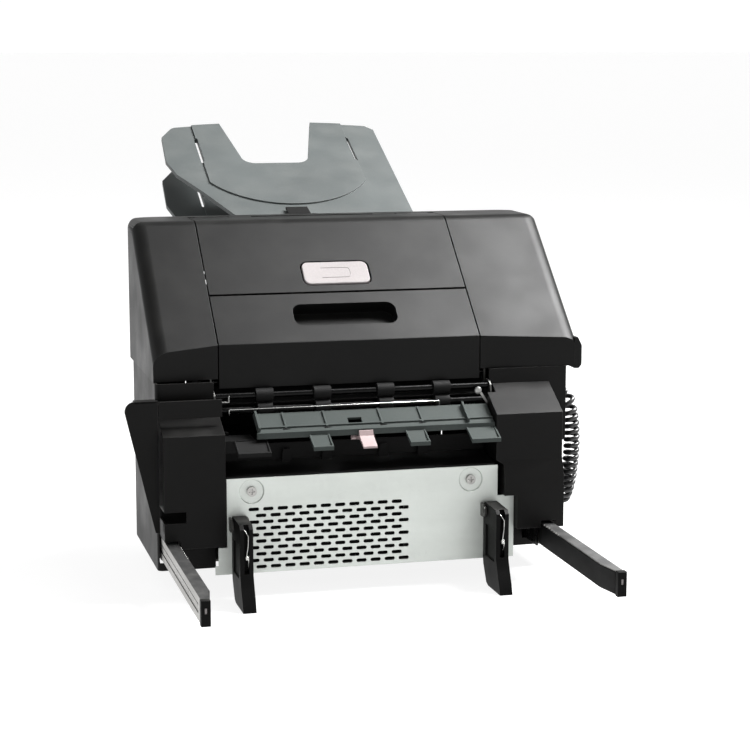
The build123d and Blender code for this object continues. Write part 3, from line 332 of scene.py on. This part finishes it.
def moulded(name, colour, rough, grain=1500, depth=0.14, edge=0.55 * MM, wear_and_highlight=1.9, dust=0.06, ior=1.5):
    """Injection-moulded plastic: spark-eroded grain, slight tone drift, rubbed edges that also carry a
    painted edge highlight, and a little dust.
    """
    g = Graph(name)
    drift = g.remap(g.noise(9, 3), 0.3, 0.7, 0.0, 1.0)
    fleck = g.remap(g.noise(620, 2), 0.35, 0.65, 0.0, 1.0)
    tone = g.mix(drift, scaled(colour, 0.86), scaled(colour, 1.12))
    tone = g.mix(g.maths("MULTIPLY", fleck, 0.25), tone, scaled(colour, 1.3))
    rounded = g.soft_edges(edge)
    # Edges lightened: partly rubbed wear, partly a painted highlight along the edges.
    edge_wear_and_highlight_mask = g.maths("MULTIPLY", g.edge_mask(rounded), g.remap(g.noise(55, 3), 0.35, 0.65, 0.25, 0.85))
    tone = g.mix(edge_wear_and_highlight_mask, tone, scaled(colour, wear_and_highlight))
    settled = g.maths("MULTIPLY", g.upward(), g.remap(g.noise(30, 5), 0.42, 0.72, 0.0, dust))
    tone = g.mix(settled, tone, (0.5, 0.49, 0.46))
    pits = g.noise(grain, 2.5, 0.6)
    pitted = g.bump(pits, depth, 0.25 * MM, g.bump(g.noise(14, 2), 0.05, 0.8 * MM, rounded))
    smears = g.remap(g.noise(24, 4), 0.3, 0.7, rough - 0.05, rough + 0.06)
    shine = g.maths("ADD", smears, g.maths("MULTIPLY", settled, 1.2))
    return g.finish(tone, shine, pitted, ior=ior)


def rolled_steel(name, colour, rough, run=(1, 1, 40), scale=60, edge=0.3 * MM, dull=0.75):
    """Drawn or brushed steel: fine lines across one direction, cloudy tone and a painted highlight along its
    edges.
    """
    g = Graph(name)
    lines = g.noise(scale, 4, 0.6, g.stretched(run))
    cloud = g.remap(g.noise(16, 4), 0.3, 0.7, 0.0, 1.0)
    rounded = g.soft_edges(edge)
    tone = g.mix(cloud, scaled(colour, dull), colour)
    tone = g.mix(g.maths("MULTIPLY", lines, 0.35), tone, scaled(colour, 0.7))
    # Painted highlight: colour lightened along sharp edges.
    tone = g.mix(g.maths("MULTIPLY", g.edge_mask(rounded), 0.6), tone, scaled(colour, 1.35))
    streaks = g.remap(lines, 0.3, 0.7, rough - 0.07, rough + 0.09)
    shine = g.maths("ADD", streaks, g.maths("MULTIPLY", cloud, 0.06))
    return g.finish(tone, shine, g.bump(lines, 0.12, 0.15 * MM, rounded), metallic=1.0)


def galvanised(name, colour):
    """Zinc-coated sheet: small spangle, rolling haze and light scuffs."""
    g = Graph(name)
    parts = g.node("SeparateXYZ")
    g.link(g.cells(150), parts.inputs[0])
    grain = parts.outputs["X"]
    haze = g.remap(g.noise(7, 4, 0.6, g.stretched((1, 1, 3))), 0.3, 0.7, 0.0, 1.0)
    tone = g.mix(haze, scaled(colour, 0.88), scaled(colour, 1.05))
    tone = g.mix(g.maths("MULTIPLY", grain, 0.22), tone, scaled(colour, 1.14))
    scuff = g.remap(g.noise(42, 6, 0.7, g.stretched((9, 1, 1))), 0.62, 0.75, 0.0, 0.5)
    tone = g.mix(scuff, tone, scaled(colour, 0.75))
    rounded = g.soft_edges(0.25 * MM)
    # Painted highlight: colour lightened along sharp edges.
    tone = g.mix(g.maths("MULTIPLY", g.edge_mask(rounded), 0.5), tone, scaled(colour, 1.3))
    shine = g.maths("ADD", g.remap(grain, 0, 1, 0.40, 0.52), g.maths("MULTIPLY", scuff, 0.2))
    return g.finish(tone, shine, g.bump(g.noise(300, 3), 0.05, 0.1 * MM, rounded), metallic=0.45)


def elastomer(name, colour, rough=0.6, grain=500, ring_axis=None, ior=1.5):
    """Rubber or soft jacket: fine ground texture, bloom and handling marks."""
    g = Graph(name)
    bloom = g.remap(g.noise(35, 5), 0.4, 0.75, 0.0, 0.35)
    tone = g.mix(bloom, colour, scaled(colour, 2.0))
    height = g.noise(grain, 3, 0.6, g.stretched(ring_axis) if ring_axis else None)
    shine = g.remap(g.noise(60, 3), 0.3, 0.7, rough - 0.08, rough + 0.1)
    return g.finish(tone, shine, g.bump(height, 0.2, 0.15 * MM, g.soft_edges(0.25 * MM)), ior=ior)


def circuit_board(name):
    """Solder resist over copper: tracks show as a slightly lighter, raised pattern."""
    g = Graph(name)
    tracks = g.node("TexBrick", offset=0.37, squash=1.6, squash_frequency=3)
    g.link(g.stretched((1, 1, 1)), tracks.inputs["Vector"])
    for key, number in (("Scale", 1.0), ("Mortar Size", 0.5 * MM), ("Brick Width", 11 * MM),
                        ("Row Height", 3.6 * MM)):
        tracks.inputs[key].default_value = number
    tone = g.mix(tracks.outputs["Fac"], (0.012, 0.09, 0.035), (0.02, 0.17, 0.06))
    tone = g.mix(g.remap(g.noise(80, 3), 0.3, 0.7, 0, 0.3), tone, (0.01, 0.07, 0.03))
    shine = g.remap(g.noise(90, 2), 0, 1, 0.22, 0.36)
    return g.finish(tone, shine, g.bump(tracks.outputs["Fac"], 0.2, 0.1 * MM))


def slide_finish(name):
    """Zinc-plated slide: satin on its sides, dark with grease on its upper edges."""
    g = Graph(name)
    lines = g.noise(90, 4, 0.6, g.stretched((30, 1, 30)))
    tone = g.mix(g.remap(g.noise(25, 4), 0.3, 0.7, 0, 1), (0.36, 0.355, 0.34), (0.46, 0.455, 0.44))
    greased = g.maths("MULTIPLY", g.upward(0.5, 0.9), g.remap(g.noise(70, 4), 0.3, 0.6, 0.75, 1.0))
    tone = g.mix(greased, tone, (0.12, 0.12, 0.12))
    smear = g.remap(g.noise(38, 6, 0.7, g.stretched((1, 0.25, 1))), 0.58, 0.72, 0.0, 0.5)
    tone = g.mix(smear, tone, (0.2, 0.2, 0.2))
    rounded = g.soft_edges(0.3 * MM)
    shine = g.remap(lines, 0.3, 0.7, 0.34, 0.5)
    return g.finish(tone, shine, g.bump(lines, 0.1, 0.1 * MM, rounded), metallic=0.9)


SOOT = (0.003, 0.003, 0.003)
# The edge lightening factors below are partly wear; on the near-black covers and housing they are mostly
# painted edge highlight.
MATERIALS = {
    "cover_plastic": moulded("cover_plastic", (0.0034, 0.0034, 0.0033), 0.40, wear_and_highlight=18, dust=0.015,
                             ior=1.21),
    "housing_plastic": moulded("housing_plastic", (0.0030, 0.0029, 0.0028), 0.42, wear_and_highlight=24, dust=0.015,
                               ior=1.2),
    "inner_plastic": moulded("inner_plastic", SOOT, 0.55, grain=900, wear_and_highlight=3, dust=0.005, ior=1.2),
    "hook_plastic": moulded("hook_plastic", (0.002, 0.002, 0.002), 0.48, grain=700, depth=0.2, wear_and_highlight=7,
                            ior=1.16),
    "bin_plastic": moulded("bin_plastic", (0.050, 0.056, 0.0555), 0.46, grain=1100, depth=0.2, wear_and_highlight=1.5,
                           dust=0.03, ior=1.36),
    "guide_plastic": moulded("guide_plastic", (0.036, 0.042, 0.040), 0.42, grain=1300, wear_and_highlight=2.2, dust=0.01,
                             ior=1.16),
    "button_white": moulded("button_white", (0.222, 0.206, 0.205), 0.36, grain=2200, depth=0.05, wear_and_highlight=1.12,
                            dust=0.01, ior=1.2),
    "lever_pink": moulded("lever_pink", (0.26, 0.20, 0.20), 0.36, grain=2200, depth=0.05, wear_and_highlight=1.1,
                          dust=0.02),
    "pulley_plastic": moulded("pulley_plastic", (0.42, 0.41, 0.37), 0.34, grain=1800, depth=0.06, wear_and_highlight=1.1,
                              dust=0.02),
    "plate_steel": galvanised("plate_steel", (0.57, 0.60, 0.57)),
    "frame_steel": rolled_steel("frame_steel", (0.10, 0.10, 0.096), 0.42, (1, 30, 1)),
    "slide_steel": slide_finish("slide_steel"),
    "dark_steel": rolled_steel("dark_steel", (0.014, 0.014, 0.014), 0.24, (60, 1, 1), 220),
    "shaft_steel": rolled_steel("shaft_steel", (0.78, 0.78, 0.76), 0.2, (60, 1, 1), 220),
    "screw_steel": rolled_steel("screw_steel", (0.42, 0.415, 0.40), 0.30, (8, 8, 8), 300, 0.2 * MM),
    "spring_steel": rolled_steel("spring_steel", (0.82, 0.82, 0.80), 0.2, (5, 5, 5), 500, 0.1 * MM),
    "motor_metal": rolled_steel("motor_metal", (0.36, 0.36, 0.35), 0.38, (40, 1, 1), 90),
    "rubber": elastomer("rubber", (0.004, 0.004, 0.004), 0.62, 420, (60, 1, 1), ior=1.2),
    "belt_rubber": elastomer("belt_rubber", (0.012, 0.012, 0.012), 0.55, 600),
    "cord_black": elastomer("cord_black", (0.010, 0.010, 0.0105), 0.33, 900),
    "board_green": circuit_board("board_green"),
}


def dress(piece, slot):
    """One material on a whole piece."""
    piece.data.materials.clear()
    piece.data.materials.append(MATERIALS[slot])
    return piece


for node, piece in NODES.items():
    dress(piece, SLOT_OF[node])
for node in ("access_door_pins", "left_slide_channel", "right_slide_channel"):
    dress(NODES[node], "dark_steel")
dress(curly_cord, "cord_black")

floor_graph = Graph("floor")
floor_tone = floor_graph.mix(floor_graph.noise(3, 3), (0.20, 0.20, 0.20), (0.21, 0.21, 0.21))
floor_graph.finish(floor_tone, floor_graph.remap(floor_graph.noise(20, 3), 0, 1, 0.6, 0.7), ior=1.05,
                   Emission_Color=(1.0, 1.0, 1.0, 1.0), Emission_Strength=0.86)
bpy.ops.mesh.primitive_plane_add(size=600, location=(0, 0, FLOOR_Z))
floor = bpy.context.object
floor.name = "floor"
floor.data.materials.append(floor_graph.material)


# ------------------------------------------------------------------ mesh helpers
def settle(name, mesh, body, slot, smooth=32):
    """Object from a finished mesh, with its material, that moves with a CAD body."""
    mesh.shade_smooth()
    mesh.set_sharp_from_angle(angle=radians(smooth))
    piece = bpy.data.objects.new(name, mesh)
    SCENE.collection.objects.link(piece)
    dress(piece, slot)
    piece.modifiers.new("normals", "WEIGHTED_NORMAL").keep_sharp = True
    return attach(piece, body)


def from_bmesh(name, bm, body, slot):
    """Object from a mesh under construction."""
    bmesh.ops.recalc_face_normals(bm, faces=bm.faces)
    mesh = bpy.data.meshes.new(name)
    bm.to_mesh(mesh)
    bm.free()
    return settle(name, mesh, body, slot)


def with_modifier(mesh, kind, **values):
    """Mesh after one modifier is applied."""
    helper = bpy.data.objects.new("helper", mesh)
    SCENE.collection.objects.link(helper)
    modifier = helper.modifiers.new("modifier", kind)
    for key, value in values.items():
        setattr(modifier, key, value)
    bpy.context.view_layer.update()
    made = bpy.data.meshes.new_from_object(helper.evaluated_get(bpy.context.evaluated_depsgraph_get()))
    bpy.data.objects.remove(helper)
    return made


def refined(node, width, segments=2):
    """Moulded copy of a CAD node: its facets joined up, its edges broken and its curves shaded smooth."""
    bm = bmesh.new()
    bm.from_mesh(NODES[node].data)
    bmesh.ops.remove_doubles(bm, verts=bm.verts, dist=4e-6)
    bmesh.ops.dissolve_limit(bm, angle_limit=radians(0.4), verts=bm.verts, edges=bm.edges)
    mesh = bpy.data.meshes.new(node + "_mesh")
    bm.to_mesh(mesh)
    bm.free()
    for layer in ("custom_normal", "sharp_edge", "sharp_face"):
        if layer in mesh.attributes:
            mesh.attributes.remove(mesh.attributes[layer])
    mesh = with_modifier(mesh, "BEVEL", width=width, segments=segments, limit_method="ANGLE",
                         angle_limit=radians(28), use_clamp_overlap=True, miter_outer="MITER_ARC")
    piece = settle(node + "_moulding", mesh, BODY_OF[node], SLOT_OF[node], smooth=24)
    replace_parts(piece, node)
    return piece


def add_box(bm, centre, size, bevel, turn=None):
    """Box with rounded edges, added to a mesh under construction."""
    before = set(bm.verts)
    made = bmesh.ops.create_cube(bm, size=1.0)["verts"]
    bmesh.ops.scale(bm, vec=size, verts=made)
    edges = list({e for v in made for e in v.link_edges})
    bmesh.ops.bevel(bm, geom=edges, offset=bevel, segments=2, affect="EDGES", profile=0.6)
    fresh = [v for v in bm.verts if v not in before]
    if turn is not None:
        bmesh.ops.rotate(bm, matrix=turn, verts=fresh, cent=(0, 0, 0))
    bmesh.ops.translate(bm, vec=centre, verts=fresh)


def add_turned(bm, profile, origin, axis, steps=40):
    """Turned shape: profile of (distance along the axis, radius) points round an axis."""
    axis = Vector(axis).normalized()
    side = axis.orthogonal().normalized()
    rings = []
    for along, radius in profile:
        centre = Vector(origin) + axis * along
        if radius < 1e-6:
            rings.append([bm.verts.new(centre)])
            continue
        rings.append([bm.verts.new(centre + (Quaternion(axis, tau * i / steps) @ side) * radius)
                      for i in range(steps)])
    for a, b in zip(rings, rings[1:]):
        for i in range(steps):
            j = (i + 1) % steps
            corners = [a[i % len(a)], a[j % len(a)], b[j % len(b)], b[i % len(b)]]
            distinct = list(dict.fromkeys(corners))
            if len(distinct) > 2:
                bm.faces.new(distinct)
    return rings


def add_strip(bm, outline, direction, width):
    """Prism of a closed outline, carried along a direction."""
    shift = Vector(direction).normalized() * width
    near = [bm.verts.new(p) for p in outline]
    far = [bm.verts.new(Vector(p) + shift) for p in outline]
    count = len(outline)
    bm.faces.new(near)
    bm.faces.new(far[::-1])
    for i in range(count):
        j = (i + 1) % count
        bm.faces.new([near[j], near[i], far[i], far[j]])


def screw_head(bm, place, axis):
    """Pan-head screw with a cross recess sunk in its crown."""
    radius, height = 3.4 * MM, 1.9 * MM
    profile = [(0, radius), (height * 0.35, radius), (height * 0.7, radius * 0.9),
               (height * 0.93, radius * 0.66), (height, radius * 0.46)]
    crown = add_turned(bm, profile, place, axis, 32)[-1]
    centre = place + axis * height
    rim = []
    for i, v in enumerate(crown):
        lobe = abs(cos(2 * tau * i / len(crown))) ** 6
        rim.append(bm.verts.new(centre + (v.co - centre) * (0.34 + 0.6 * lobe)))
    sunk = [bm.verts.new(v.co - axis * height * 0.55) for v in rim]
    for i in range(len(crown)):
        j = (i + 1) % len(crown)
        bm.faces.new([crown[i], crown[j], rim[j], rim[i]])
        bm.faces.new([rim[i], rim[j], sunk[j], sunk[i]])
    bm.faces.new(sunk)


def arc_points(centre, radius, start, stop, u, v, steps=8):
    """Points of an arc in the plane of u and v, angles in degrees."""
    return [centre + (u * cos(a) + v * sin(a)) * radius
            for a in (radians(start + (stop - start) * i / steps) for i in range(steps + 1))]


# ------------------------------------------------------------------ mouldings and sheet metal
for node in ("left_cover", "right_cover", "access_door", "top_door"):
    refined(node, 0.7 * MM, 3)
for node in ("left_leg_cover", "right_leg_cover", "left_lower_panel", "right_lower_panel", "rear_cover"):
    refined(node, 0.6 * MM)
for node in ("upper_bin", "lower_bin"):
    refined(node, 0.7 * MM, 3)
for node in ("inlet_guide", "throat_floor", "inlet_lever", "left_slide_cap", "right_slide_cap"):
    refined(node, 0.3 * MM)
for node in ("left_hook", "right_hook"):
    refined(node, 0.6 * MM, 3)
refined("release_button", 0.5 * MM, 3)
refined("docking_plate", 0.18 * MM, 2)
refined("plate_screws", 0.2 * MM, 2)

# ------------------------------------------------------------------ cord's strain relief and connector
relief = bmesh.new()
profile = [(0.1 * MM, 4.4 * MM), (0.6 * MM, 4.7 * MM), (1.6 * MM, 4.7 * MM), (2.0 * MM, 4.4 * MM)]
for ring in range(4):
    along, radius = 2.4 + 2.3 * ring, 4.4 - 0.32 * ring
    profile += [(along * MM, radius * MM), ((along + 1.3) * MM, (radius - 0.1) * MM),
                ((along + 1.5) * MM, (radius - 0.75) * MM), ((along + 2.1) * MM, (radius - 0.8) * MM)]
profile += [(11.9 * MM, 3.1 * MM), (12.0 * MM, 2.3 * MM), (9.0 * MM, 2.28 * MM)]
add_turned(relief, profile, GLAND + Z * 12 * MM, -Z, 48)
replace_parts(from_bmesh("cord_relief", relief, "chassis", "cord_black"), "cord_gland")

grips = bmesh.new()
for i in range(6):
    for side in (-1, 1):
        add_box(grips, CONNECTOR + mm(0, 7 + 2.2 * i, side * 4.1), mm(8.4, 1.0, 0.5), 0.18 * MM)
add_turned(grips, [(-2 * MM, 2.5 * MM), (0, 3.4 * MM), (1 * MM, 3.7 * MM)], CONNECTOR, Y, 32)
from_bmesh("connector_grips", grips, "chassis", "hook_plastic")

# ------------------------------------------------------------------ release button
MARK_LEFT, MARK_RIGHT, MARK_HALF, MARK_CORNER = -13 * MM, 15 * MM, 6.2 * MM, 4 * MM
face = BUTTON_AT + OUTWARD * 0.72 * MM
open_end, round_end = face + X * MARK_LEFT, face + X * (MARK_RIGHT - MARK_CORNER)
mark = [open_end + ALONG * MARK_HALF, round_end + ALONG * MARK_HALF]
mark += arc_points(round_end + ALONG * (MARK_HALF - MARK_CORNER), MARK_CORNER, 90, 0, X, ALONG)
mark += arc_points(round_end - ALONG * (MARK_HALF - MARK_CORNER), MARK_CORNER, 0, -90, X, ALONG)
mark.append(open_end - ALONG * MARK_HALF)
emboss = wire("button_emboss", mark, 0.45 * MM, "release_button", 3)
dress(emboss, "button_white")

# ------------------------------------------------------------------ button springs
# Copied from the CAD coils as they stand; on the machine they shorten as the button is pressed into the top
# door.
springs = bpy.data.objects.new("button_spring_coils", NODES["button_springs"].data.copy())
SCENE.collection.objects.link(springs)
springs.matrix_world = NODES["button_springs"].matrix_world
dress(springs, SLOT_OF["button_springs"])
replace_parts(springs, "button_springs")
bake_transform(springs)

# ------------------------------------------------------------------ latch springs
COIL_TURNS, COIL_STEPS, COIL_R, COIL_PITCH = 3, 18, 2.0 * MM, 0.66 * MM
for side, x in (("left", -116.0), ("right", 120.9)):
    coil_centre = mm(x - 0.4, -39.8, 24.5)
    line = [mm(x - 3.2, -36.6, 50.4), mm(x - 1.2, -39.2, 49.4), mm(x + 1.5, -41.3, 44.5),
            mm(x + 1.2, -41.6, 36), mm(x - 0.2, -41.9, 27.5)]
    for i in range(COIL_TURNS * COIL_STEPS + 1):
        turn = i / COIL_STEPS
        angle = radians(200) + tau * turn
        line.append(coil_centre + (Y * cos(angle) + Z * sin(angle)) * COIL_R + X * turn * COIL_PITCH)
    line += [mm(x + 1.8, -39.0, 19), mm(x + 1.8, -36.4, 14)]
    spring = wire(f"{side}_latch_spring", line, 0.3 * MM, f"{side}_hook", 4)
    dress(spring, "spring_steel")
    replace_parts(spring, f"{side}_hook_spring")

# ------------------------------------------------------------------ slide details
SLIDE_Z = 20.95                                     # of the slides' centre line, in mm
RIVET = [(-0.3 * MM, 2.6 * MM), (0.45 * MM, 2.5 * MM), (0.7 * MM, 1.9 * MM), (0.5 * MM, 0)]
BALL_R = 1.25 * MM
BALL = [(BALL_R * sin(a), BALL_R * cos(a)) for a in (radians(t) for t in range(-90, 91, 18))]
for side, out in (("left", -1), ("right", 1)):
    body = f"{side}_slide"
    details = bmesh.new()
    add_box(details, mm(out * 180.75, -66, SLIDE_Z), mm(0.7, 226, 4.6), 0.3 * MM)
    for y in (-166, -120, -60, 0):
        add_turned(details, RIVET, mm(out * 180.7, y, SLIDE_Z), X * out, 28)
    from_bmesh(f"{side}_slide_rib", details, body, "slide_steel")
    strip = bmesh.new()
    inner, tip, sheet, foot = out * 170.3, out * 174.8, out * 0.7, 11.2
    outline = [mm(inner, -3, foot), mm(inner, -160, foot), mm(tip, -185.6, foot),
               mm(tip - sheet, -185.6, foot), mm(inner - sheet, -160.4, foot), mm(inner - sheet, -3, foot)]
    add_strip(strip, outline, Z, 19.5 * MM)
    from_bmesh(f"{side}_slide_cover", strip, body, "hook_plastic")
    balls = bmesh.new()
    for i in range(7):
        for z in (11.4, 30.4):
            add_turned(balls, BALL, mm(out * 170.8, -14 - 6.5 * i, z), X, 12)
    from_bmesh(f"{side}_slide_balls", balls, body, "screw_steel")
    slot_plate = bmesh.new()
    add_box(slot_plate, mm(out * 178.25, -191.2, 22.95), mm(2.0, 1.6, 4.8), 0.3 * MM)
    from_bmesh(f"{side}_slide_window", slot_plate, body, "button_white")

# ------------------------------------------------------------------ side wing
wing = bmesh.new()
fin = [mm(-185.3, 10, 160), mm(-185.3, 10, 40), mm(-189, 10, 40), mm(-194, 10, 61), mm(-203, 10, 100)]
fin += arc_points(mm(-205.6, 10, 150.9), 9 * MM, 196, 90, X, Z, 12)
add_strip(wing, fin, Y, 3 * MM)
for centre, size, edge in (
    (mm(-196.2, 16, 158.7), mm(20, 12, 2.2), 0.6 * MM),                 # top flange
    (mm(-186.9, 21, 109), mm(2.8, 21.6, 97.6), 0.5 * MM),               # web
    (mm(-156.0, 11.5, 151), mm(57.4, 3, 16), 0.5 * MM),                 # cross strap
):
    add_box(wing, centre, size, edge)
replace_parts(from_bmesh("wing_moulding", wing, "chassis", "housing_plastic"), "side_wing")

# ------------------------------------------------------------------ throat details
bracket = bmesh.new()
add_box(bracket, mm(-122, 30, 152.8), mm(9.4, 3, 0.9), 0.25 * MM)
add_box(bracket, mm(-117.8, 30, 155.6), mm(0.9, 3, 5.2), 0.25 * MM)
stud = [(0, 3.4 * MM), (0.8 * MM, 3.6 * MM), (2 * MM, 3.2 * MM), (2.6 * MM, 1.6 * MM), (2.2 * MM, 0)]
add_turned(bracket, stud, mm(118.6, 30.4, 153.4), -Y, 28)
stay = [mm(119.5, 27, 151), mm(121.5, 27, 152), mm(129.2, 27, 140.6), mm(127.4, 27, 139.6)]
add_strip(bracket, stay, Y, 1 * MM)
from_bmesh("throat_brackets", bracket, "chassis", "motor_metal")

# Thin bright steel wire laid just above the guide: a painted highlight line across the throat.
highlight_line_points = [mm(-118, 27.4, 141.5), mm(-118, 26, 145.6), mm(-117.4, 26, 146.2),
             mm(79.4, 26, 146.2), mm(80, 26, 145.6), mm(80, 27.4, 141.5)]
throat_highlight_wire = wire("throat_highlight_wire", highlight_line_points, 0.42 * MM, "chassis", 3)
dress(throat_highlight_wire, "shaft_steel")

GUIDE_TILT = radians(28.86)
GUIDE_ALONG = Vector((0, cos(GUIDE_TILT), sin(GUIDE_TILT)))
GUIDE_UP = Vector((0, -sin(GUIDE_TILT), cos(GUIDE_TILT)))
# Four flat black triangles laid flush on the guide's front part.
guide_triangles = bmesh.new()
for x in (-69.5, -31.5, 20.8, 57.7):
    start = mm(x, 1, 128) + GUIDE_UP * 0.05 * MM
    corners = [start + X * dx * MM + GUIDE_ALONG * da * MM
               for dx, da in ((-3.2, 3.5), (3.6, 4.3), (-2.6, 6.2))]
    add_strip(guide_triangles, corners, GUIDE_UP, 0.4 * MM)
from_bmesh("guide_dark_triangles", guide_triangles, "chassis", "inner_plastic")

# ------------------------------------------------------------------ black sheets behind louvres and grille, shaped as framed filters: painted shade that keeps the slots dark
vent_shade = bmesh.new()
for centre, width, height in ((mm(0, 187.4, 77.5), 204, 46), (mm(-31, 18, 33.2), 152, 58)):
    add_box(vent_shade, centre, mm(width, 1.6, height), 0.3 * MM)
    for side in (-1, 1):
        add_box(vent_shade, centre + X * side * (width / 2 - 1.5) * MM, mm(3, 2.8, height), 0.4 * MM)
        add_box(vent_shade, centre + Z * side * (height / 2 - 1.5) * MM, mm(width, 2.8, 3), 0.4 * MM)
from_bmesh("vent_shade_sheets", vent_shade, "chassis", "rubber")

# ------------------------------------------------------------------ door ribs
# On the inner faces, seen when a door is open.
ribs = bmesh.new()
for x in (-110, -88, -66, 66, 88, 110):                  # clear of the finger slot
    add_box(ribs, mm(x, 47.6, 186), mm(1.6, 3.4, 24), 0.2 * MM)
add_box(ribs, mm(0, 47.6, 174), mm(226, 3.4, 1.6), 0.2 * MM)
from_bmesh("access_door_ribs", ribs, "access_door", "cover_plastic")
tilt = Matrix.Rotation(SLOPE, 3, "X")
RIB_DEPTH = 4.6 * MM                                     # of the ribs' middle under the slope
ribs = bmesh.new()
for x in (-112, -96, -80, -64, -48, 50, 66, 82, 98, 112):
    centre = CREASE + ALONG * 88 * MM - OUTWARD * RIB_DEPTH + X * x * MM
    add_box(ribs, centre, mm(1.6, 40, 3.4), 0.2 * MM, tilt)
for s in (69, 107):
    for x0, x1 in ((-113, -37), (39, 113)):              # either side of the button
        centre = CREASE + ALONG * s * MM - OUTWARD * RIB_DEPTH + X * (x0 + x1) / 2 * MM
        add_box(ribs, centre, mm(x1 - x0, 1.6, 3.4), 0.2 * MM, tilt)
from_bmesh("top_door_ribs", ribs, "top_door", "cover_plastic")

# ------------------------------------------------------------------ screws on the back
screws = bmesh.new()
for x in (-118, 118):
    for z in (24, 150):
        screw_head(screws, mm(x, 192, z), Y)
for x in (-104, 104):
    for z in (184, 268.5):
        screw_head(screws, mm(x, 222, z), Y)
from_bmesh("rear_screws", screws, "chassis", "screw_steel")

# ------------------------------------------------------------------ parts by the control board
PINS, CANS = 12, 4
board_low, board_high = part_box("control_board")
edge_y = board_low.y
pins = bmesh.new()
for i in range(PINS):
    x = board_low.x + (board_high.x - board_low.x) * (i + 1) / (PINS + 1)
    add_box(pins, Vector((x, edge_y - 0.6 * MM, board_low.z + 4 * MM)), mm(2.4, 1.2, 1.3), 0.2 * MM)
from_bmesh("board_chips", pins, "chassis", "inner_plastic")
CAN = [(0, 3 * MM), (6.4 * MM, 3 * MM), (7 * MM, 2.6 * MM), (6.8 * MM, 0)]
cans = bmesh.new()
for i in range(CANS):
    place = Vector((board_low.x + (14 + 9 * i) * MM, edge_y, board_high.z - 8 * MM))
    add_turned(cans, CAN, place, -Y, 28)
from_bmesh("board_capacitors", cans, "chassis", "screw_steel")
